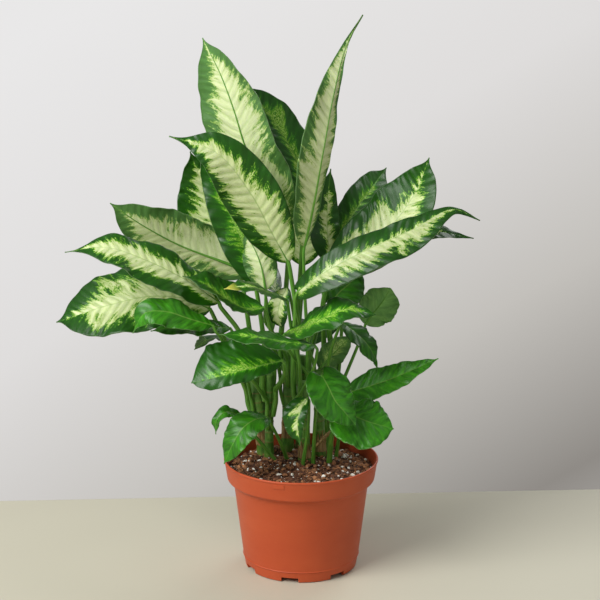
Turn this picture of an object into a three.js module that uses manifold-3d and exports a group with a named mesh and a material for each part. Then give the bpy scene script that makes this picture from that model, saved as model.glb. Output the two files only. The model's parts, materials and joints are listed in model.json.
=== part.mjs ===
// A potted dieffenbachia: a moulded nursery pot filled with bark and peat mix, seven fleshy canes that stand
// in holes in the mix, and the leaves, each one grown piece of stalk, midrib and blade.
// Millimetres, +Z up. The origin is the middle of the pot's base, on the surface it stands on, and the plant
// is seen from its front when looking along +Y.
import * as THREE from "three";
import { mergeVertices } from "three/addons/utils/BufferGeometryUtils.js";
import Module from "manifold-3d";

// ---- driving dimensions ----

// The pot: a 6 inch moulded nursery pot.
const POT_HEIGHT = 110;
const RIM_RADIUS = 76.4;
const LIP = 1.1; // half the thickness of the bead round the rim
const BAND_HEIGHT = 20; // the tapering band below the lip
const BAND_RADIUS = 73; // at the band's lower edge
const BODY_TOP_RADIUS = 66.7; // where the body meets the step under the band
const BODY_TOP = 86;
const BODY_FOOT_RADIUS = 57.6; // at the moulding line
const MOULDING_LINE = 11; // height of the line round the foot
const FOOT_RADIUS = 55.5;
const WALL = 2;
const RAISED_BASE = 3; // how far the ring with the drain holes is above the ground
const FLAT_RADIUS = 20; // the flat middle of the base, which touches the ground
const RING_OUTER = 52; // where the raised ring meets the foot
const FOOT_NOTCHES = 7;
const FOOT_NOTCH = { width: 17, height: 4.6, first: -101.5 };
const DRAIN_HOLES = 6;
const DRAIN = { radius: 5, at: 38 };
const POT_SIDES = 28;

// The mix in the pot.
const SOIL_EDGE = 98.5; // height where it meets the wall
const SOIL_DOME = 6.5; // how much higher the middle is
const SOIL_LUMPS = 1.1;
const SOIL_GAP = 0.4; // between the mix and the wall
const HOLE_GAP = 0.5; // round a stem in its hole
const HOLE_DEPTH = 24;
const STALK_HOLE_DEPTH = 12;

// The canes: where each leaves the mix, where it ends, and how thick it is.
const CANES = {
  left_thick: { foot: [-36, 36], top: [-46, 30, 185], radius: 7 },
  left_thin: { foot: [-32, 21], top: [-31, 12, 192], radius: 4.5 },
  middle: { foot: [-14, 42], top: [-12, 30, 212], radius: 6 },
  front: { foot: [4, 8], top: [2, -2, 188], radius: 6 },
  right: { foot: [19, 22], top: [17, 14, 195], radius: 5.5 },
  back_right: { foot: [26, 44], top: [31, 42, 200], radius: 5.5 },
  back: { foot: [1, 52], top: [0, 60, 198], radius: 5.5 },
};
const CANE_RINGS = 2; // old leaf scars on each
const CANE_SIDES = 8;
const CANE_SWELLING = { amount: 0.28, reach: 0.12 }; // of the foot, over the radius and along the cane
const CANE_TAPER = 0.12; // of the radius, from foot to top

// The leaves.
const BLADE_THICKNESS = 0.8;
const STALK_FOOT_RADIUS = 3; // at the foot of a stalk
const STALK_TIP_RADIUS = 2; // where the blade starts
const SMALL_STALK = 0.7; // the stalks of the small blades, over the others
const STALK_SIDES = 5;
const STALK_SPANS = 6; // rings along the stalk
const KEEL_SPANS = 2; // and under the blade
const KEEL_NARROWING = 1.2;
const KEEL = 0.36; // the share of the blade over which the midrib stands out below
const BROAD = 45; // blades wider than this are divided more finely
const BROAD_GRID = { steps: 10, columns: 4 };
const NARROW_GRID = { steps: 8, columns: 2 };
const BLADE_START = 0.012; // the shares of the midrib between which there is blade
const BLADE_END = 0.99;
const LEAST_HALF_WIDTH = 0.5;
const DRIP_NARROWING = 0.75; // how much of the width is gone at the end of the narrow tip
const WAVES = 3; // waves along each margin
const WAVE_SHIFT = 0.37; // how far one margin's waves run ahead of the other's, in waves
const STALK_CLEARANCE = 2.2; // kept between stalks
const BLADE_CLEARANCE = 4.2; // kept between a stalk and the blades of other leaves
const SETTLING_ROUNDS = 90; // steps in which the stalks lean clear of each other

// What a leaf has where its row gives nothing else.
const COMMON = { blunt: 0.62, point: 2, drip: 0.12, skew: 0.5, lean: 0, lobe: 0 };

// midrib: points from the blade's base to its tip. face: which way the upper face looks, at even steps from
// base to tip. widest: where along the blade it is broadest. skew: the share of the width on the left of the
// midrib, as seen from its base. lean: how much nearer the tip the right half is broadest, and nearer the
// base the left. blunt: how slowly the base widens. point: how full the outer part is. drip: the share that is
// a narrow tip. fold and curl: degrees that the left and right halves are raised at the midrib and bent over
// their width. wave: height of the waved margin. lobe: how far the base reaches back past the stalk. A leaf
// grows from a cane, at a height and on the side given by turn in degrees, or straight from the mix at soil.
const LEAVES = [
  {
    name: "crown_left",
    midrib: [[-13, -2, 338], [-32, -9, 378], [-51, -11, 418], [-63, -8, 456], [-75, 0, 487], [-93, 14, 521]],
    face: [[0.3, 0.85, 0.3], [0.35, 0.85, 0.3]],
    width: 70,
    widest: 0.5,
    drip: 0.1,
    skew: 0.46,
    lean: 0.14,
    point: 2.4,
    fold: [6, 10],
    curl: [-8, -12],
    wave: 2,
    cane: "middle",
    height: 205,
    turn: 150,
  },
  {
    name: "crown_back",
    midrib: [[2, 20, 340], [3, 28, 364], [-3, 38, 396], [-25, 47, 436], [-55, 42, 474]],
    face: [[0.35, -0.8, 0.45]],
    width: 46,
    widest: 0.5,
    skew: 0.5,
    lean: 0.08,
    fold: [24, 10],
    curl: [-10, -14],
    wave: 1.5,
    cane: "back",
    height: 185,
    turn: 230,
  },
  {
    name: "crown_upright",
    midrib: [[3, -31, 329], [12, -43, 375], [21, -44, 426], [30, -31, 473], [42, -8, 515], [58, 8, 543]],
    face: [[-0.6, 0.75, 0.2], [-0.6, 0.75, 0.15], [-0.6, 0.8, 0.1], [-0.3, 0.9, 0.1], [0.1, 0.9, 0]],
    width: 36,
    skew: 0.3,
    widest: 0.36,
    drip: 0.5,
    point: 1.7,
    fold: [10, 10],
    curl: [-10, -10],
    wave: 1.5,
    cane: "front",
    height: 180,
    turn: 60,
  },
  {
    name: "arching_left",
    midrib: [[-12, -17, 311], [-28, -28, 343], [-46, -38, 380], [-78, -47, 421], [-122, -44, 436]],
    face: [[-0.3, -0.75, 0.6]],
    width: 54,
    widest: 0.42,
    drip: 0.22,
    fold: [12, 16],
    curl: [-22, -14],
    wave: 2,
    cane: "front",
    height: 175,
    turn: 170,
  },
  {
    name: "back_left_upper",
    midrib: [[-62, 54, 291], [-82, 60, 317], [-93, 66, 344], [-99, 68, 373], [-109, 60, 406]],
    face: [[-0.1, -0.9, 0.4]],
    width: 52,
    skew: 0.57,
    widest: 0.45,
    fold: [10, 12],
    curl: [-10, -10],
    wave: 2,
    cane: "left_thick",
    height: 180,
    turn: 90,
  },
  {
    name: "back_left_lower",
    midrib: [[-35, 4, 277], [-50, 8, 310], [-63, 12, 340], [-79, 22, 371], [-99, 32, 405]],
    face: [[-0.2, -0.85, 0.45]],
    width: 42,
    widest: 0.42,
    fold: [14, 16],
    curl: [-14, -10],
    wave: 2,
    cane: "middle",
    height: 170,
    turn: 200,
  },
  {
    name: "centre_ribbed",
    midrib: [[-34, -15, 283], [-38, -13, 306], [-45, -7, 323], [-55, 0, 337]],
    face: [[-0.2, 0.85, 0.5]],
    width: 32,
    widest: 0.45,
    fold: [8, 8],
    curl: [-10, -10],
    wave: 1.5,
    cane: "middle",
    height: 190,
    turn: 260,
  },
  {
    name: "side_left_upper",
    midrib: [[-49, 38, 288], [-74, 36, 299], [-118, 28, 318], [-154, 12, 342], [-183, 2, 365]],
    face: [[0.1, 0.95, 0.2]],
    width: 64,
    widest: 0.48,
    fold: [14, 6],
    curl: [-10, -8],
    wave: 2,
    cane: "left_thick",
    height: 165,
    turn: 20,
  },
  {
    name: "side_left_middle",
    midrib: [[-78, -30, 275], [-108, -38, 298], [-142, -46, 318], [-182, -48, 332], [-221, -46, 327]],
    face: [[-0.15, -0.55, 0.85], [-0.3, -0.5, 0.85]],
    width: 50,
    widest: 0.42,
    drip: 0.24,
    skew: 0.54,
    fold: [10, 10],
    curl: [-14, -14],
    wave: 2.5,
    cane: "left_thin",
    height: 180,
    turn: 200,
  },
  {
    name: "side_left_lower",
    midrib: [[-88, 2, 260], [-112, -1, 271], [-145, -7, 275], [-183, -12, 268], [-236, -14, 251]],
    face: [[-0.15, -0.6, 0.8]],
    width: 84,
    widest: 0.45,
    point: 2.8,
    drip: 0.1,
    fold: [8, 8],
    curl: [-12, -14],
    wave: 2.5,
    cane: "left_thick",
    height: 155,
    turn: 180,
  },
  {
    name: "side_left_drooping",
    midrib: [[-83, -52, 258], [-103, -60, 266], [-126, -66, 275], [-145, -68, 274], [-157, -66, 254]],
    face: [[-0.1, -0.6, 0.8], [-0.5, -0.6, 0.5]],
    width: 30,
    widest: 0.55,
    drip: 0.2,
    fold: [4, 10],
    curl: [-20, -16],
    wave: 2,
    cane: "left_thin",
    height: 150,
    turn: 250,
  },
  {
    name: "back_left_dark",
    midrib: [[-68, -20, 247], [-92, -32, 252], [-118, -44, 254], [-142, -50, 252]],
    face: [[-0.1, -0.5, 0.85]],
    width: 26,
    widest: 0.45,
    fold: [8, 8],
    curl: [-10, -10],
    wave: 1.5,
    cane: "left_thick",
    height: 150,
    turn: 230,
  },
  {
    name: "front_left_oval",
    midrib: [[-18, -46, 222], [-36, -58, 221], [-61, -70, 218], [-82, -74, 213], [-103, -70, 207]],
    face: [[-0.1, -0.75, 0.65]],
    width: 48,
    skew: 0.25,
    widest: 0.55,
    point: 4,
    blunt: 0.5,
    drip: 0.06,
    lean: 0.05,
    fold: [4, 8],
    curl: [-24, -20],
    wave: 1.5,
    cane: "left_thin",
    height: 165,
    turn: 320,
  },
  {
    name: "left_side_on",
    midrib: [[-36, -16, 266], [-54, -24, 268], [-74, -32, 281], [-92, -38, 295], [-112, -40, 303]],
    face: [[0.2, -0.45, 0.85]],
    width: 48,
    widest: 0.4,
    drip: 0.2,
    fold: [30, 14],
    curl: [-10, -18],
    wave: 1.5,
    cane: "left_thin",
    height: 185,
    turn: 60,
  },
  {
    name: "front_yellow_tip",
    midrib: [[-14, -46, 282], [-30, -60, 292], [-50, -72, 301], [-71, -80, 300]],
    face: [[0.05, -0.15, 1]],
    width: 34,
    widest: 0.45,
    fold: [10, 10],
    curl: [-20, -20],
    wave: 1,
    cane: "front",
    height: 182,
    turn: 250,
  },
  {
    name: "front_flat",
    midrib: [[13, -58, 240], [-14, -70, 247], [-46, -79, 255], [-76, -80, 257]],
    face: [[0, -0.2, 1]],
    width: 36,
    widest: 0.45,
    point: 2.4,
    fold: [6, 6],
    curl: [-16, -16],
    wave: 1.5,
    cane: "front",
    height: 160,
    turn: 230,
  },
  {
    name: "centre_half_cream",
    midrib: [[-14, 0, 282], [-20, -5, 269], [-22, -6, 257], [-18, -2, 242]],
    face: [[-0.3, -0.85, 0.3]],
    width: 22,
    widest: 0.5,
    fold: [14, 10],
    curl: [-10, -10],
    wave: 1,
    cane: "middle",
    height: 180,
    turn: 330,
  },
  {
    name: "right_middle",
    midrib: [[-15, -36, 246], [2, -48, 255], [21, -56, 266], [42, -58, 275], [71, -52, 268]],
    face: [[0.1, -0.45, 0.9]],
    width: 40,
    widest: 0.42,
    fold: [10, 10],
    curl: [-16, -16],
    wave: 2,
    cane: "right",
    height: 165,
    turn: 290,
  },
  {
    name: "right_drooping",
    midrib: [[40, -8, 249], [51, -14, 242], [62, -17, 232], [70, -16, 219], [74, -12, 204]],
    face: [[0.5, -0.5, 0.7], [0.75, -0.5, 0.2]],
    width: 28,
    widest: 0.38,
    drip: 0.3,
    fold: [10, 10],
    curl: [-18, -18],
    wave: 1.5,
    cane: "right",
    height: 170,
    turn: 20,
  },
  {
    name: "right_back_dark",
    midrib: [[28, 20, 259], [36, 24, 270], [48, 28, 280], [60, 30, 292]],
    face: [[0.1, -0.85, 0.4]],
    width: 42,
    widest: 0.45,
    fold: [8, 8],
    curl: [-10, -10],
    wave: 1.5,
    cane: "back_right",
    height: 185,
    turn: 60,
  },
  {
    name: "right_round",
    midrib: [[64, 40, 235], [71, 42, 245], [80, 44, 256], [89, 46, 271]],
    face: [[-0.2, 0.95, 0.2]],
    width: 42,
    widest: 0.5,
    point: 2.8,
    blunt: 0.5,
    drip: 0.02,
    fold: [6, 6],
    curl: [-10, -10],
    wave: 2,
    cane: "back_right",
    height: 150,
    turn: 0,
  },
  {
    name: "low_right_pointed",
    midrib: [[50, 4, 176], [69, -2, 184], [88, -6, 192], [109, -8, 202], [134, -6, 213]],
    face: [[0, -0.6, 0.8]],
    width: 36,
    widest: 0.3,
    blunt: 0.4,
    lobe: 5,
    point: 1.6,
    fold: [12, 12],
    curl: [-14, -14],
    wave: 1,
    soil: [35, 16],
  },
  {
    name: "low_heart",
    midrib: [[20, -50, 208], [26, -58, 199], [32, -64, 188], [42, -66, 176], [52, -66, 164]],
    face: [[0.25, -0.75, 0.6]],
    width: 44,
    widest: 0.34,
    blunt: 0.35,
    drip: 0.08,
    lobe: 9,
    fold: [8, 8],
    curl: [-16, -16],
    wave: 1,
    soil: [12, -9],
  },
  {
    name: "low_right_broad",
    midrib: [[39, -32, 170], [51, -40, 165], [67, -45, 160], [89, -46, 154]],
    face: [[0.2, -0.6, 0.75]],
    width: 60,
    skew: 0.45,
    widest: 0.42,
    point: 2.6,
    blunt: 0.5,
    drip: 0.1,
    lobe: 4,
    fold: [8, 8],
    curl: [-18, -18],
    wave: 1.5,
    soil: [28, -3],
  },
  {
    name: "low_centre",
    midrib: [[6, -40, 183], [1, -48, 176], [-3, -54, 165], [-1, -54, 140]],
    face: [[-0.25, -0.85, 0.4]],
    width: 22,
    skew: 0.3,
    widest: 0.36,
    drip: 0.2,
    fold: [10, 10],
    curl: [-14, -14],
    wave: 1,
    soil: [2, -12],
  },
  {
    name: "low_left_pointed",
    midrib: [[-32, -30, 160], [-44, -42, 162], [-55, -48, 156], [-64, -52, 143], [-74, -50, 120]],
    face: [[-0.35, -0.65, 0.65]],
    width: 34,
    widest: 0.42,
    blunt: 0.5,
    drip: 0.1,
    fold: [8, 8],
    curl: [-16, -16],
    wave: 1,
    soil: [-14, 6],
  },
  {
    name: "low_left_curled",
    midrib: [[-58, -6, 153], [-67, -14, 160], [-75, -20, 162], [-82, -22, 154], [-83, -20, 140]],
    face: [[-0.2, -0.6, 0.75], [-0.7, -0.6, 0.2]],
    width: 14,
    widest: 0.42,
    fold: [16, 16],
    curl: [-14, -14],
    wave: 1.5,
    soil: [-26, 8],
  },
  {
    name: "crown_right_back",
    midrib: [[30, 36, 298], [26, 42, 325], [26, 46, 355], [29, 46, 391]],
    face: [[0.1, -0.9, 0.35]],
    width: 30,
    widest: 0.36,
    skew: 0.6,
    fold: [12, 12],
    curl: [-10, -10],
    wave: 1.5,
    cane: "back",
    height: 175,
    turn: 310,
  },
  {
    name: "right_back_upper",
    midrib: [[22, 54, 293], [38, 62, 320], [58, 68, 350], [85, 70, 388]],
    face: [[-0.1, -0.8, 0.55]],
    width: 36,
    widest: 0.6,
    point: 3,
    fold: [12, 12],
    curl: [-10, -10],
    wave: 1.5,
    cane: "back_right",
    height: 192,
    turn: 100,
  },
  {
    name: "right_upper",
    midrib: [[29, 10, 300], [56, 20, 315], [84, 25, 334], [101, 29, 354], [114, 30, 376], [124, 28, 405]],
    face: [[-0.25, -0.75, 0.6]],
    width: 70,
    widest: 0.5,
    blunt: 0.55,
    fold: [12, 12],
    curl: [-12, -12],
    wave: 2,
    cane: "back_right",
    height: 190,
    turn: 150,
  },
  {
    name: "right_long",
    midrib: [[-3, -40, 288], [17, -48, 305], [60, -48, 329], [105, -41, 348], [142, -32, 365], [169, -26, 353]],
    face: [[-0.1, -0.7, 0.7]],
    width: 42,
    widest: 0.4,
    point: 1.8,
    blunt: 0.36,
    drip: 0.36,
    skew: 0.42,
    lean: 0.08,
    lobe: 4,
    fold: [6, 8],
    curl: [-12, -12],
    wave: 1.5,
    cane: "right",
    height: 185,
    turn: 120,
  },
  {
    name: "right_back_tip",
    midrib: [[48, 46, 280], [85, 54, 306], [124, 58, 325], [172, 56, 319]],
    face: [[-0.1, -0.45, 0.9]],
    width: 34,
    widest: 0.42,
    drip: 0.25,
    fold: [10, 10],
    curl: [-12, -12],
    wave: 1.5,
    cane: "back_right",
    height: 180,
    turn: 20,
  },
  {
    name: "right_back_low",
    midrib: [[18, 27, 193], [27, 28, 203], [37, 29, 213], [50, 30, 226]],
    face: [[-0.3, 0.95, 0.1]],
    width: 28,
    widest: 0.45,
    fold: [8, 8],
    curl: [-8, -8],
    wave: 1,
    cane: "back_right",
    height: 140,
    turn: 240,
  },
  {
    name: "far_left",
    midrib: [[-24, 62, 262], [-52, 88, 296], [-78, 112, 304], [-104, 134, 288]],
    face: [[-0.2, 0.3, 0.93]],
    width: 60,
    widest: 0.42,
    fold: [10, 10],
    curl: [-14, -14],
    wave: 2,
    cane: "left_thick",
    height: 183,
    turn: 50,
  },
  {
    name: "far_right",
    midrib: [[26, 84, 262], [48, 108, 300], [66, 132, 316], [84, 158, 306]],
    face: [[0.1, 0.3, 0.93]],
    width: 60,
    widest: 0.42,
    fold: [10, 10],
    curl: [-14, -14],
    wave: 2,
    cane: "back",
    height: 180,
    turn: 20,
  },
  {
    name: "far_middle",
    midrib: [[2, 84, 285], [2, 104, 335], [-4, 122, 376], [-8, 134, 412]],
    face: [[0, -0.75, 0.65]],
    width: 62,
    widest: 0.42,
    fold: [10, 10],
    curl: [-12, -12],
    wave: 2,
    cane: "back",
    height: 192,
    turn: 115,
  },
  {
    name: "far_low",
    midrib: [[8, 90, 200], [14, 116, 214], [20, 144, 210], [28, 168, 190]],
    face: [[0.1, 0.3, 0.95]],
    width: 52,
    widest: 0.42,
    fold: [8, 8],
    curl: [-16, -16],
    wave: 1.5,
    cane: "back",
    height: 150,
    turn: 65,
  },
  {
    name: "far_low_left",
    midrib: [[-50, 72, 196], [-72, 92, 208], [-92, 108, 204], [-112, 122, 186]],
    face: [[-0.2, 0.3, 0.95]],
    width: 48,
    widest: 0.42,
    fold: [8, 8],
    curl: [-16, -16],
    wave: 1.5,
    cane: "left_thick",
    height: 140,
    turn: 120,
  },
].map((leaf) => ({ ...COMMON, ...leaf }));

const COLOURS = {
  pot: { color: "#bf5f38", roughness: 0.5, metalness: 0 },
  soil: { color: "#3d2a1e", roughness: 0.95, metalness: 0 },
  cane: { color: "#6f9a3e", roughness: 0.5, metalness: 0 },
  leaf: { color: "#3f8a35", roughness: 0.4, metalness: 0 },
};

// ---- solids ----

const wasm = await Module();
wasm.setup();

// A closed geometry as a solid that can be joined and cut.
function solidOf(geometry) {
  const bare = geometry.clone();
  bare.deleteAttribute("normal");
  bare.deleteAttribute("uv");
  const merged = mergeVertices(bare, 1e-4);
  return new wasm.Manifold(
    new wasm.Mesh({
      numProp: 3,
      vertProperties: new Float32Array(merged.attributes.position.array),
      triVerts: new Uint32Array(merged.index.array),
    }),
  );
}

function geometryOf(solid) {
  const mesh = solid.getMesh();
  const geometry = new THREE.BufferGeometry();
  geometry.setAttribute("position", new THREE.BufferAttribute(mesh.vertProperties, 3));
  geometry.setIndex(new THREE.BufferAttribute(mesh.triVerts, 1));
  geometry.computeVertexNormals();
  return geometry;
}

const plant = new THREE.Group();

function place(name, solid, finish) {
  const mesh = new THREE.Mesh(geometryOf(solid), new THREE.MeshStandardMaterial(finish));
  mesh.name = name;
  plant.add(mesh);
}

// A turned solid about the Z axis from [radius, height] pairs that start and end on the axis.
function turned(profile, sides) {
  const points = profile.map(([radius, height]) => new THREE.Vector2(radius, height));
  return new THREE.LatheGeometry(points, sides).rotateX(Math.PI / 2);
}

// Joins closed rings of equally many points into one closed geometry, with a flat end at each side.
function loft(rings) {
  const around = rings[0].length;
  const positions = rings.flat().flatMap((point) => point.toArray());
  const faces = [];
  for (let i = 0; i + 1 < rings.length; i++) {
    for (let j = 0; j < around; j++) {
      const next = (j + 1) % around;
      const [a, b, c, d] = [i * around + j, i * around + next, (i + 1) * around + next, (i + 1) * around + j];
      faces.push(a, b, c, a, c, d);
    }
  }
  const last = (rings.length - 1) * around;
  for (let j = 1; j + 1 < around; j++) {
    faces.push(0, j + 1, j);
    faces.push(last, last + j, last + j + 1);
  }
  const geometry = new THREE.BufferGeometry();
  geometry.setAttribute("position", new THREE.Float32BufferAttribute(positions, 3));
  geometry.setIndex(faces);
  return geometry;
}

// ---- the pot ----

function makePot() {
  const inner = BODY_TOP_RADIUS - WALL;
  const shell = solidOf(
    turned(
      [
        [0, 0],
        [FLAT_RADIUS, 0],
        [FLAT_RADIUS + RAISED_BASE, RAISED_BASE],
        [RING_OUTER, RAISED_BASE],
        [RING_OUTER + 1, 0],
        [FOOT_RADIUS, 0],
        [BODY_FOOT_RADIUS - 0.5, MOULDING_LINE - 0.6],
        [BODY_FOOT_RADIUS + 0.3, MOULDING_LINE],
        [BODY_TOP_RADIUS, BODY_TOP],
        [BAND_RADIUS - 0.6, POT_HEIGHT - BAND_HEIGHT - 0.4],
        [BAND_RADIUS, POT_HEIGHT - BAND_HEIGHT + 0.6],
        [RIM_RADIUS - 0.4, POT_HEIGHT - 2.2 * LIP],
        [RIM_RADIUS, POT_HEIGHT - LIP],
        [RIM_RADIUS - 0.5, POT_HEIGHT],
        [RIM_RADIUS - 1.7 * LIP, POT_HEIGHT],
        [RIM_RADIUS - 2.2 * LIP, POT_HEIGHT - LIP],
        [BAND_RADIUS - WALL, POT_HEIGHT - BAND_HEIGHT + 1.5],
        [inner, BODY_TOP + 0.8],
        [FOOT_RADIUS - 1.5, RAISED_BASE + WALL],
        [FLAT_RADIUS + RAISED_BASE + 1, RAISED_BASE + WALL],
        [FLAT_RADIUS + 1, WALL],
        [0, WALL],
      ],
      POT_SIDES,
    ),
  );
  let pot = shell;
  for (let i = 0; i < FOOT_NOTCHES; i++) {
    const notch = new THREE.BoxGeometry(12, FOOT_NOTCH.width, 2 * FOOT_NOTCH.height)
      .translate(FOOT_RADIUS, 0, 0)
      .rotateZ(THREE.MathUtils.degToRad(FOOT_NOTCH.first + (360 / FOOT_NOTCHES) * i));
    pot = pot.subtract(solidOf(notch));
  }
  for (let i = 0; i < DRAIN_HOLES; i++) {
    const hole = new THREE.CylinderGeometry(DRAIN.radius, DRAIN.radius, 12, 12)
      .rotateX(Math.PI / 2)
      .translate(DRAIN.at, 0, RAISED_BASE)
      .rotateZ((2 * Math.PI * i) / DRAIN_HOLES);
    pot = pot.subtract(solidOf(hole));
  }
  place("pot", pot, COLOURS.pot);
}

// ---- the mix ----

function soilHeight(x, y) {
  const reach = Math.min(1, Math.hypot(x, y) / (BODY_TOP_RADIUS + 3));
  const lumps = Math.sin(x * 0.31 + 1.3 * Math.sin(y * 0.17)) * Math.cos(y * 0.27 - 0.9 * Math.sin(x * 0.13));
  return SOIL_EDGE + SOIL_DOME * (1 - reach * reach) + SOIL_LUMPS * lumps * (1 - reach ** 6);
}

function makeSoil() {
  const edge = BAND_RADIUS - WALL - SOIL_GAP + (RIM_RADIUS - BAND_RADIUS) * 0.35;
  const surface = [0.92, 0.78, 0.6, 0.4, 0.2].map((share) => [edge * share, SOIL_EDGE + SOIL_DOME]);
  const geometry = turned(
    [
      [0, WALL + SOIL_GAP],
      [FLAT_RADIUS + 0.5, WALL + SOIL_GAP],
      [FLAT_RADIUS + RAISED_BASE + 0.7, RAISED_BASE + WALL + SOIL_GAP],
      [FOOT_RADIUS - 2.1, RAISED_BASE + WALL + SOIL_GAP],
      [BODY_TOP_RADIUS - WALL - SOIL_GAP - 0.1, BODY_TOP + 0.8],
      [BAND_RADIUS - WALL - SOIL_GAP - 0.1, POT_HEIGHT - BAND_HEIGHT + 1.7],
      [edge, SOIL_EDGE],
      ...surface,
      [0, SOIL_EDGE + SOIL_DOME],
    ],
    POT_SIDES,
  );
  const position = geometry.attributes.position;
  for (let i = 0; i < position.count; i++) {
    if (position.getZ(i) > SOIL_EDGE + 0.1) {
      position.setZ(i, soilHeight(position.getX(i), position.getY(i)));
    }
  }
  let soil = solidOf(geometry);
  for (const cane of Object.values(CANES)) {
    soil = soil.subtract(solidOf(caneGeometry(cane, HOLE_GAP)));
  }
  for (const leaf of LEAVES.filter((each) => each.soil)) {
    const radius = stalkRadius(leaf, 0) + HOLE_GAP + 0.4;
    const [x, y] = leaf.soil;
    const middle = soilHeight(x, y);
    const hole = new THREE.CylinderGeometry(radius, radius, 2 * STALK_HOLE_DEPTH + 1, 10)
      .rotateX(Math.PI / 2)
      .translate(x, y, middle);
    soil = soil.subtract(solidOf(hole));
  }
  place("soil", soil, COLOURS.soil);
}

// ---- the canes ----

// The middle of a cane at a height: it leans evenly from its foot to its top.
function caneAt(cane, height) {
  const share = (height - SOIL_EDGE) / (cane.top[2] - SOIL_EDGE);
  const x = cane.foot[0] + (cane.top[0] - cane.foot[0]) * share;
  const y = cane.foot[1] + (cane.top[1] - cane.foot[1]) * share;
  return new THREE.Vector3(x, y, height);
}

// A cane is swollen at its foot, tapers upward, and has a raised ring at each old leaf scar.
function caneRadius(cane, share) {
  const swelling = CANE_SWELLING.amount * Math.exp(-((share / CANE_SWELLING.reach) ** 2));
  return cane.radius * (1 + swelling - CANE_TAPER * share);
}

function caneGeometry(cane, extra) {
  const bottom = SOIL_EDGE - HOLE_DEPTH - extra;
  const top = cane.top[2] + extra;
  const profile = [[0, bottom]];
  profile.push([caneRadius(cane, 0) * 0.8 + extra, bottom]);
  profile.push([caneRadius(cane, 0) + extra, SOIL_EDGE - 4]);
  profile.push([caneRadius(cane, 0.1) + extra, SOIL_EDGE + 10]);
  for (let i = 1; i <= CANE_RINGS; i++) {
    const share = 0.12 + (0.8 * i) / (CANE_RINGS + 1);
    const height = SOIL_EDGE + share * (top - SOIL_EDGE);
    const radius = caneRadius(cane, share) + extra;
    profile.push([radius - 0.1, height - 2], [radius + 0.35, height], [radius - 0.2, height + 2]);
  }
  const end = caneRadius(cane, 1) + extra;
  profile.push([end, top - 4], [end * 0.6, top - 0.6], [0, top]);
  const geometry = turned(profile, CANE_SIDES);
  const position = geometry.attributes.position;
  for (let i = 0; i < position.count; i++) {
    const middle = caneAt(cane, position.getZ(i));
    position.setX(i, position.getX(i) + middle.x);
    position.setY(i, position.getY(i) + middle.y);
  }
  return geometry;
}

// ---- the leaves ----

const radians = THREE.MathUtils.degToRad;

function stalkScale(leaf) {
  return leaf.width < BROAD ? SMALL_STALK : 1;
}

function stalkRadius(leaf, share) {
  return (STALK_FOOT_RADIUS + (STALK_TIP_RADIUS - STALK_FOOT_RADIUS) * share) * stalkScale(leaf);
}

// Half-width of one side of a blade over its greatest, at a share of the length from base to tip.
function outline(leaf, side, share) {
  const { blunt, point, drip } = leaf;
  const widest = leaf.widest + (side ? leaf.lean : -leaf.lean);
  const toWidest = THREE.MathUtils.clamp(share / widest, 0, 1);
  const past = THREE.MathUtils.clamp((share - widest) / (1 - widest), 0, 1);
  const full = share < widest ? (1 - (1 - toWidest) ** 2) ** blunt : 1 - past ** point;
  const narrow = THREE.MathUtils.smoothstep(share, 1 - drip, 1);
  return full * (1 - DRIP_NARROWING * narrow);
}

// The midrib's point, its direction, the upper face's direction and the sideways direction at a share.
function frameAt(leaf, share) {
  const curve = new THREE.CatmullRomCurve3(leaf.midrib.map((point) => new THREE.Vector3(...point)));
  const along = curve.getTangentAt(share);
  const faces = leaf.face.map((direction) => new THREE.Vector3(...direction).normalize());
  const step = Math.min(share * (faces.length - 1), faces.length - 1.000001);
  const first = Math.max(0, Math.floor(step));
  const next = faces[Math.min(first + 1, faces.length - 1)];
  const up = faces[first].clone().lerp(next, step - first);
  up.addScaledVector(along, -up.dot(along)).normalize();
  return { point: curve.getPointAt(share), along, up, side: along.clone().cross(up) };
}

// The middle surface of a blade at a share of its length and across it from -1 to 1, and its upper normal.
function bladePoint(leaf, frame, share, across) {
  const side = across < 0 ? 0 : 1;
  const most = leaf.width * (side ? 1 - leaf.skew : leaf.skew);
  const half = Math.max(most * outline(leaf, side, share), LEAST_HALF_WIDTH);
  const reach = Math.abs(across);
  const fold = radians(leaf.fold[side]);
  const curl = radians(leaf.curl[side]);
  const flat = (half * Math.sin(curl * reach)) / curl;
  const lift = (half * (1 - Math.cos(curl * reach))) / curl;
  const out = flat * Math.cos(fold) - lift * Math.sin(fold);
  const phase = side ? 0 : WAVE_SHIFT;
  const waves = leaf.wave * reach ** 2 * Math.sin(2 * Math.PI * (WAVES * share + phase));
  const rise = flat * Math.sin(fold) + lift * Math.cos(fold) + waves * Math.sqrt(Math.sin(Math.PI * share));
  const back = leaf.lobe * reach ** 1.5 * (1 - share) ** 3;
  const slope = reach ? (fold + curl * reach) * Math.sign(across) : 0;
  const normal = frame.up.clone().multiplyScalar(Math.cos(slope));
  normal.addScaledVector(frame.side, -Math.sin(slope));
  const point = frame.point
    .clone()
    .addScaledVector(frame.side, Math.sign(across) * out)
    .addScaledVector(frame.up, rise)
    .addScaledVector(frame.along, -back);
  return { point, normal };
}

function bladeGeometry(leaf) {
  const { steps, columns } = leaf.width >= BROAD ? BROAD_GRID : NARROW_GRID;
  const rings = [];
  for (let i = 0; i <= steps; i++) {
    const share = THREE.MathUtils.lerp(BLADE_START, BLADE_END, i / steps);
    const frame = frameAt(leaf, share);
    const upper = [];
    const lower = [];
    for (let j = 0; j <= columns; j++) {
      const { point, normal } = bladePoint(leaf, frame, share, (2 * j) / columns - 1);
      upper.push(point.clone().addScaledVector(normal, BLADE_THICKNESS / 2));
      lower.push(point.clone().addScaledVector(normal, -BLADE_THICKNESS / 2));
    }
    rings.push({ upper, lower });
  }
  return shellOf(rings);
}

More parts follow.
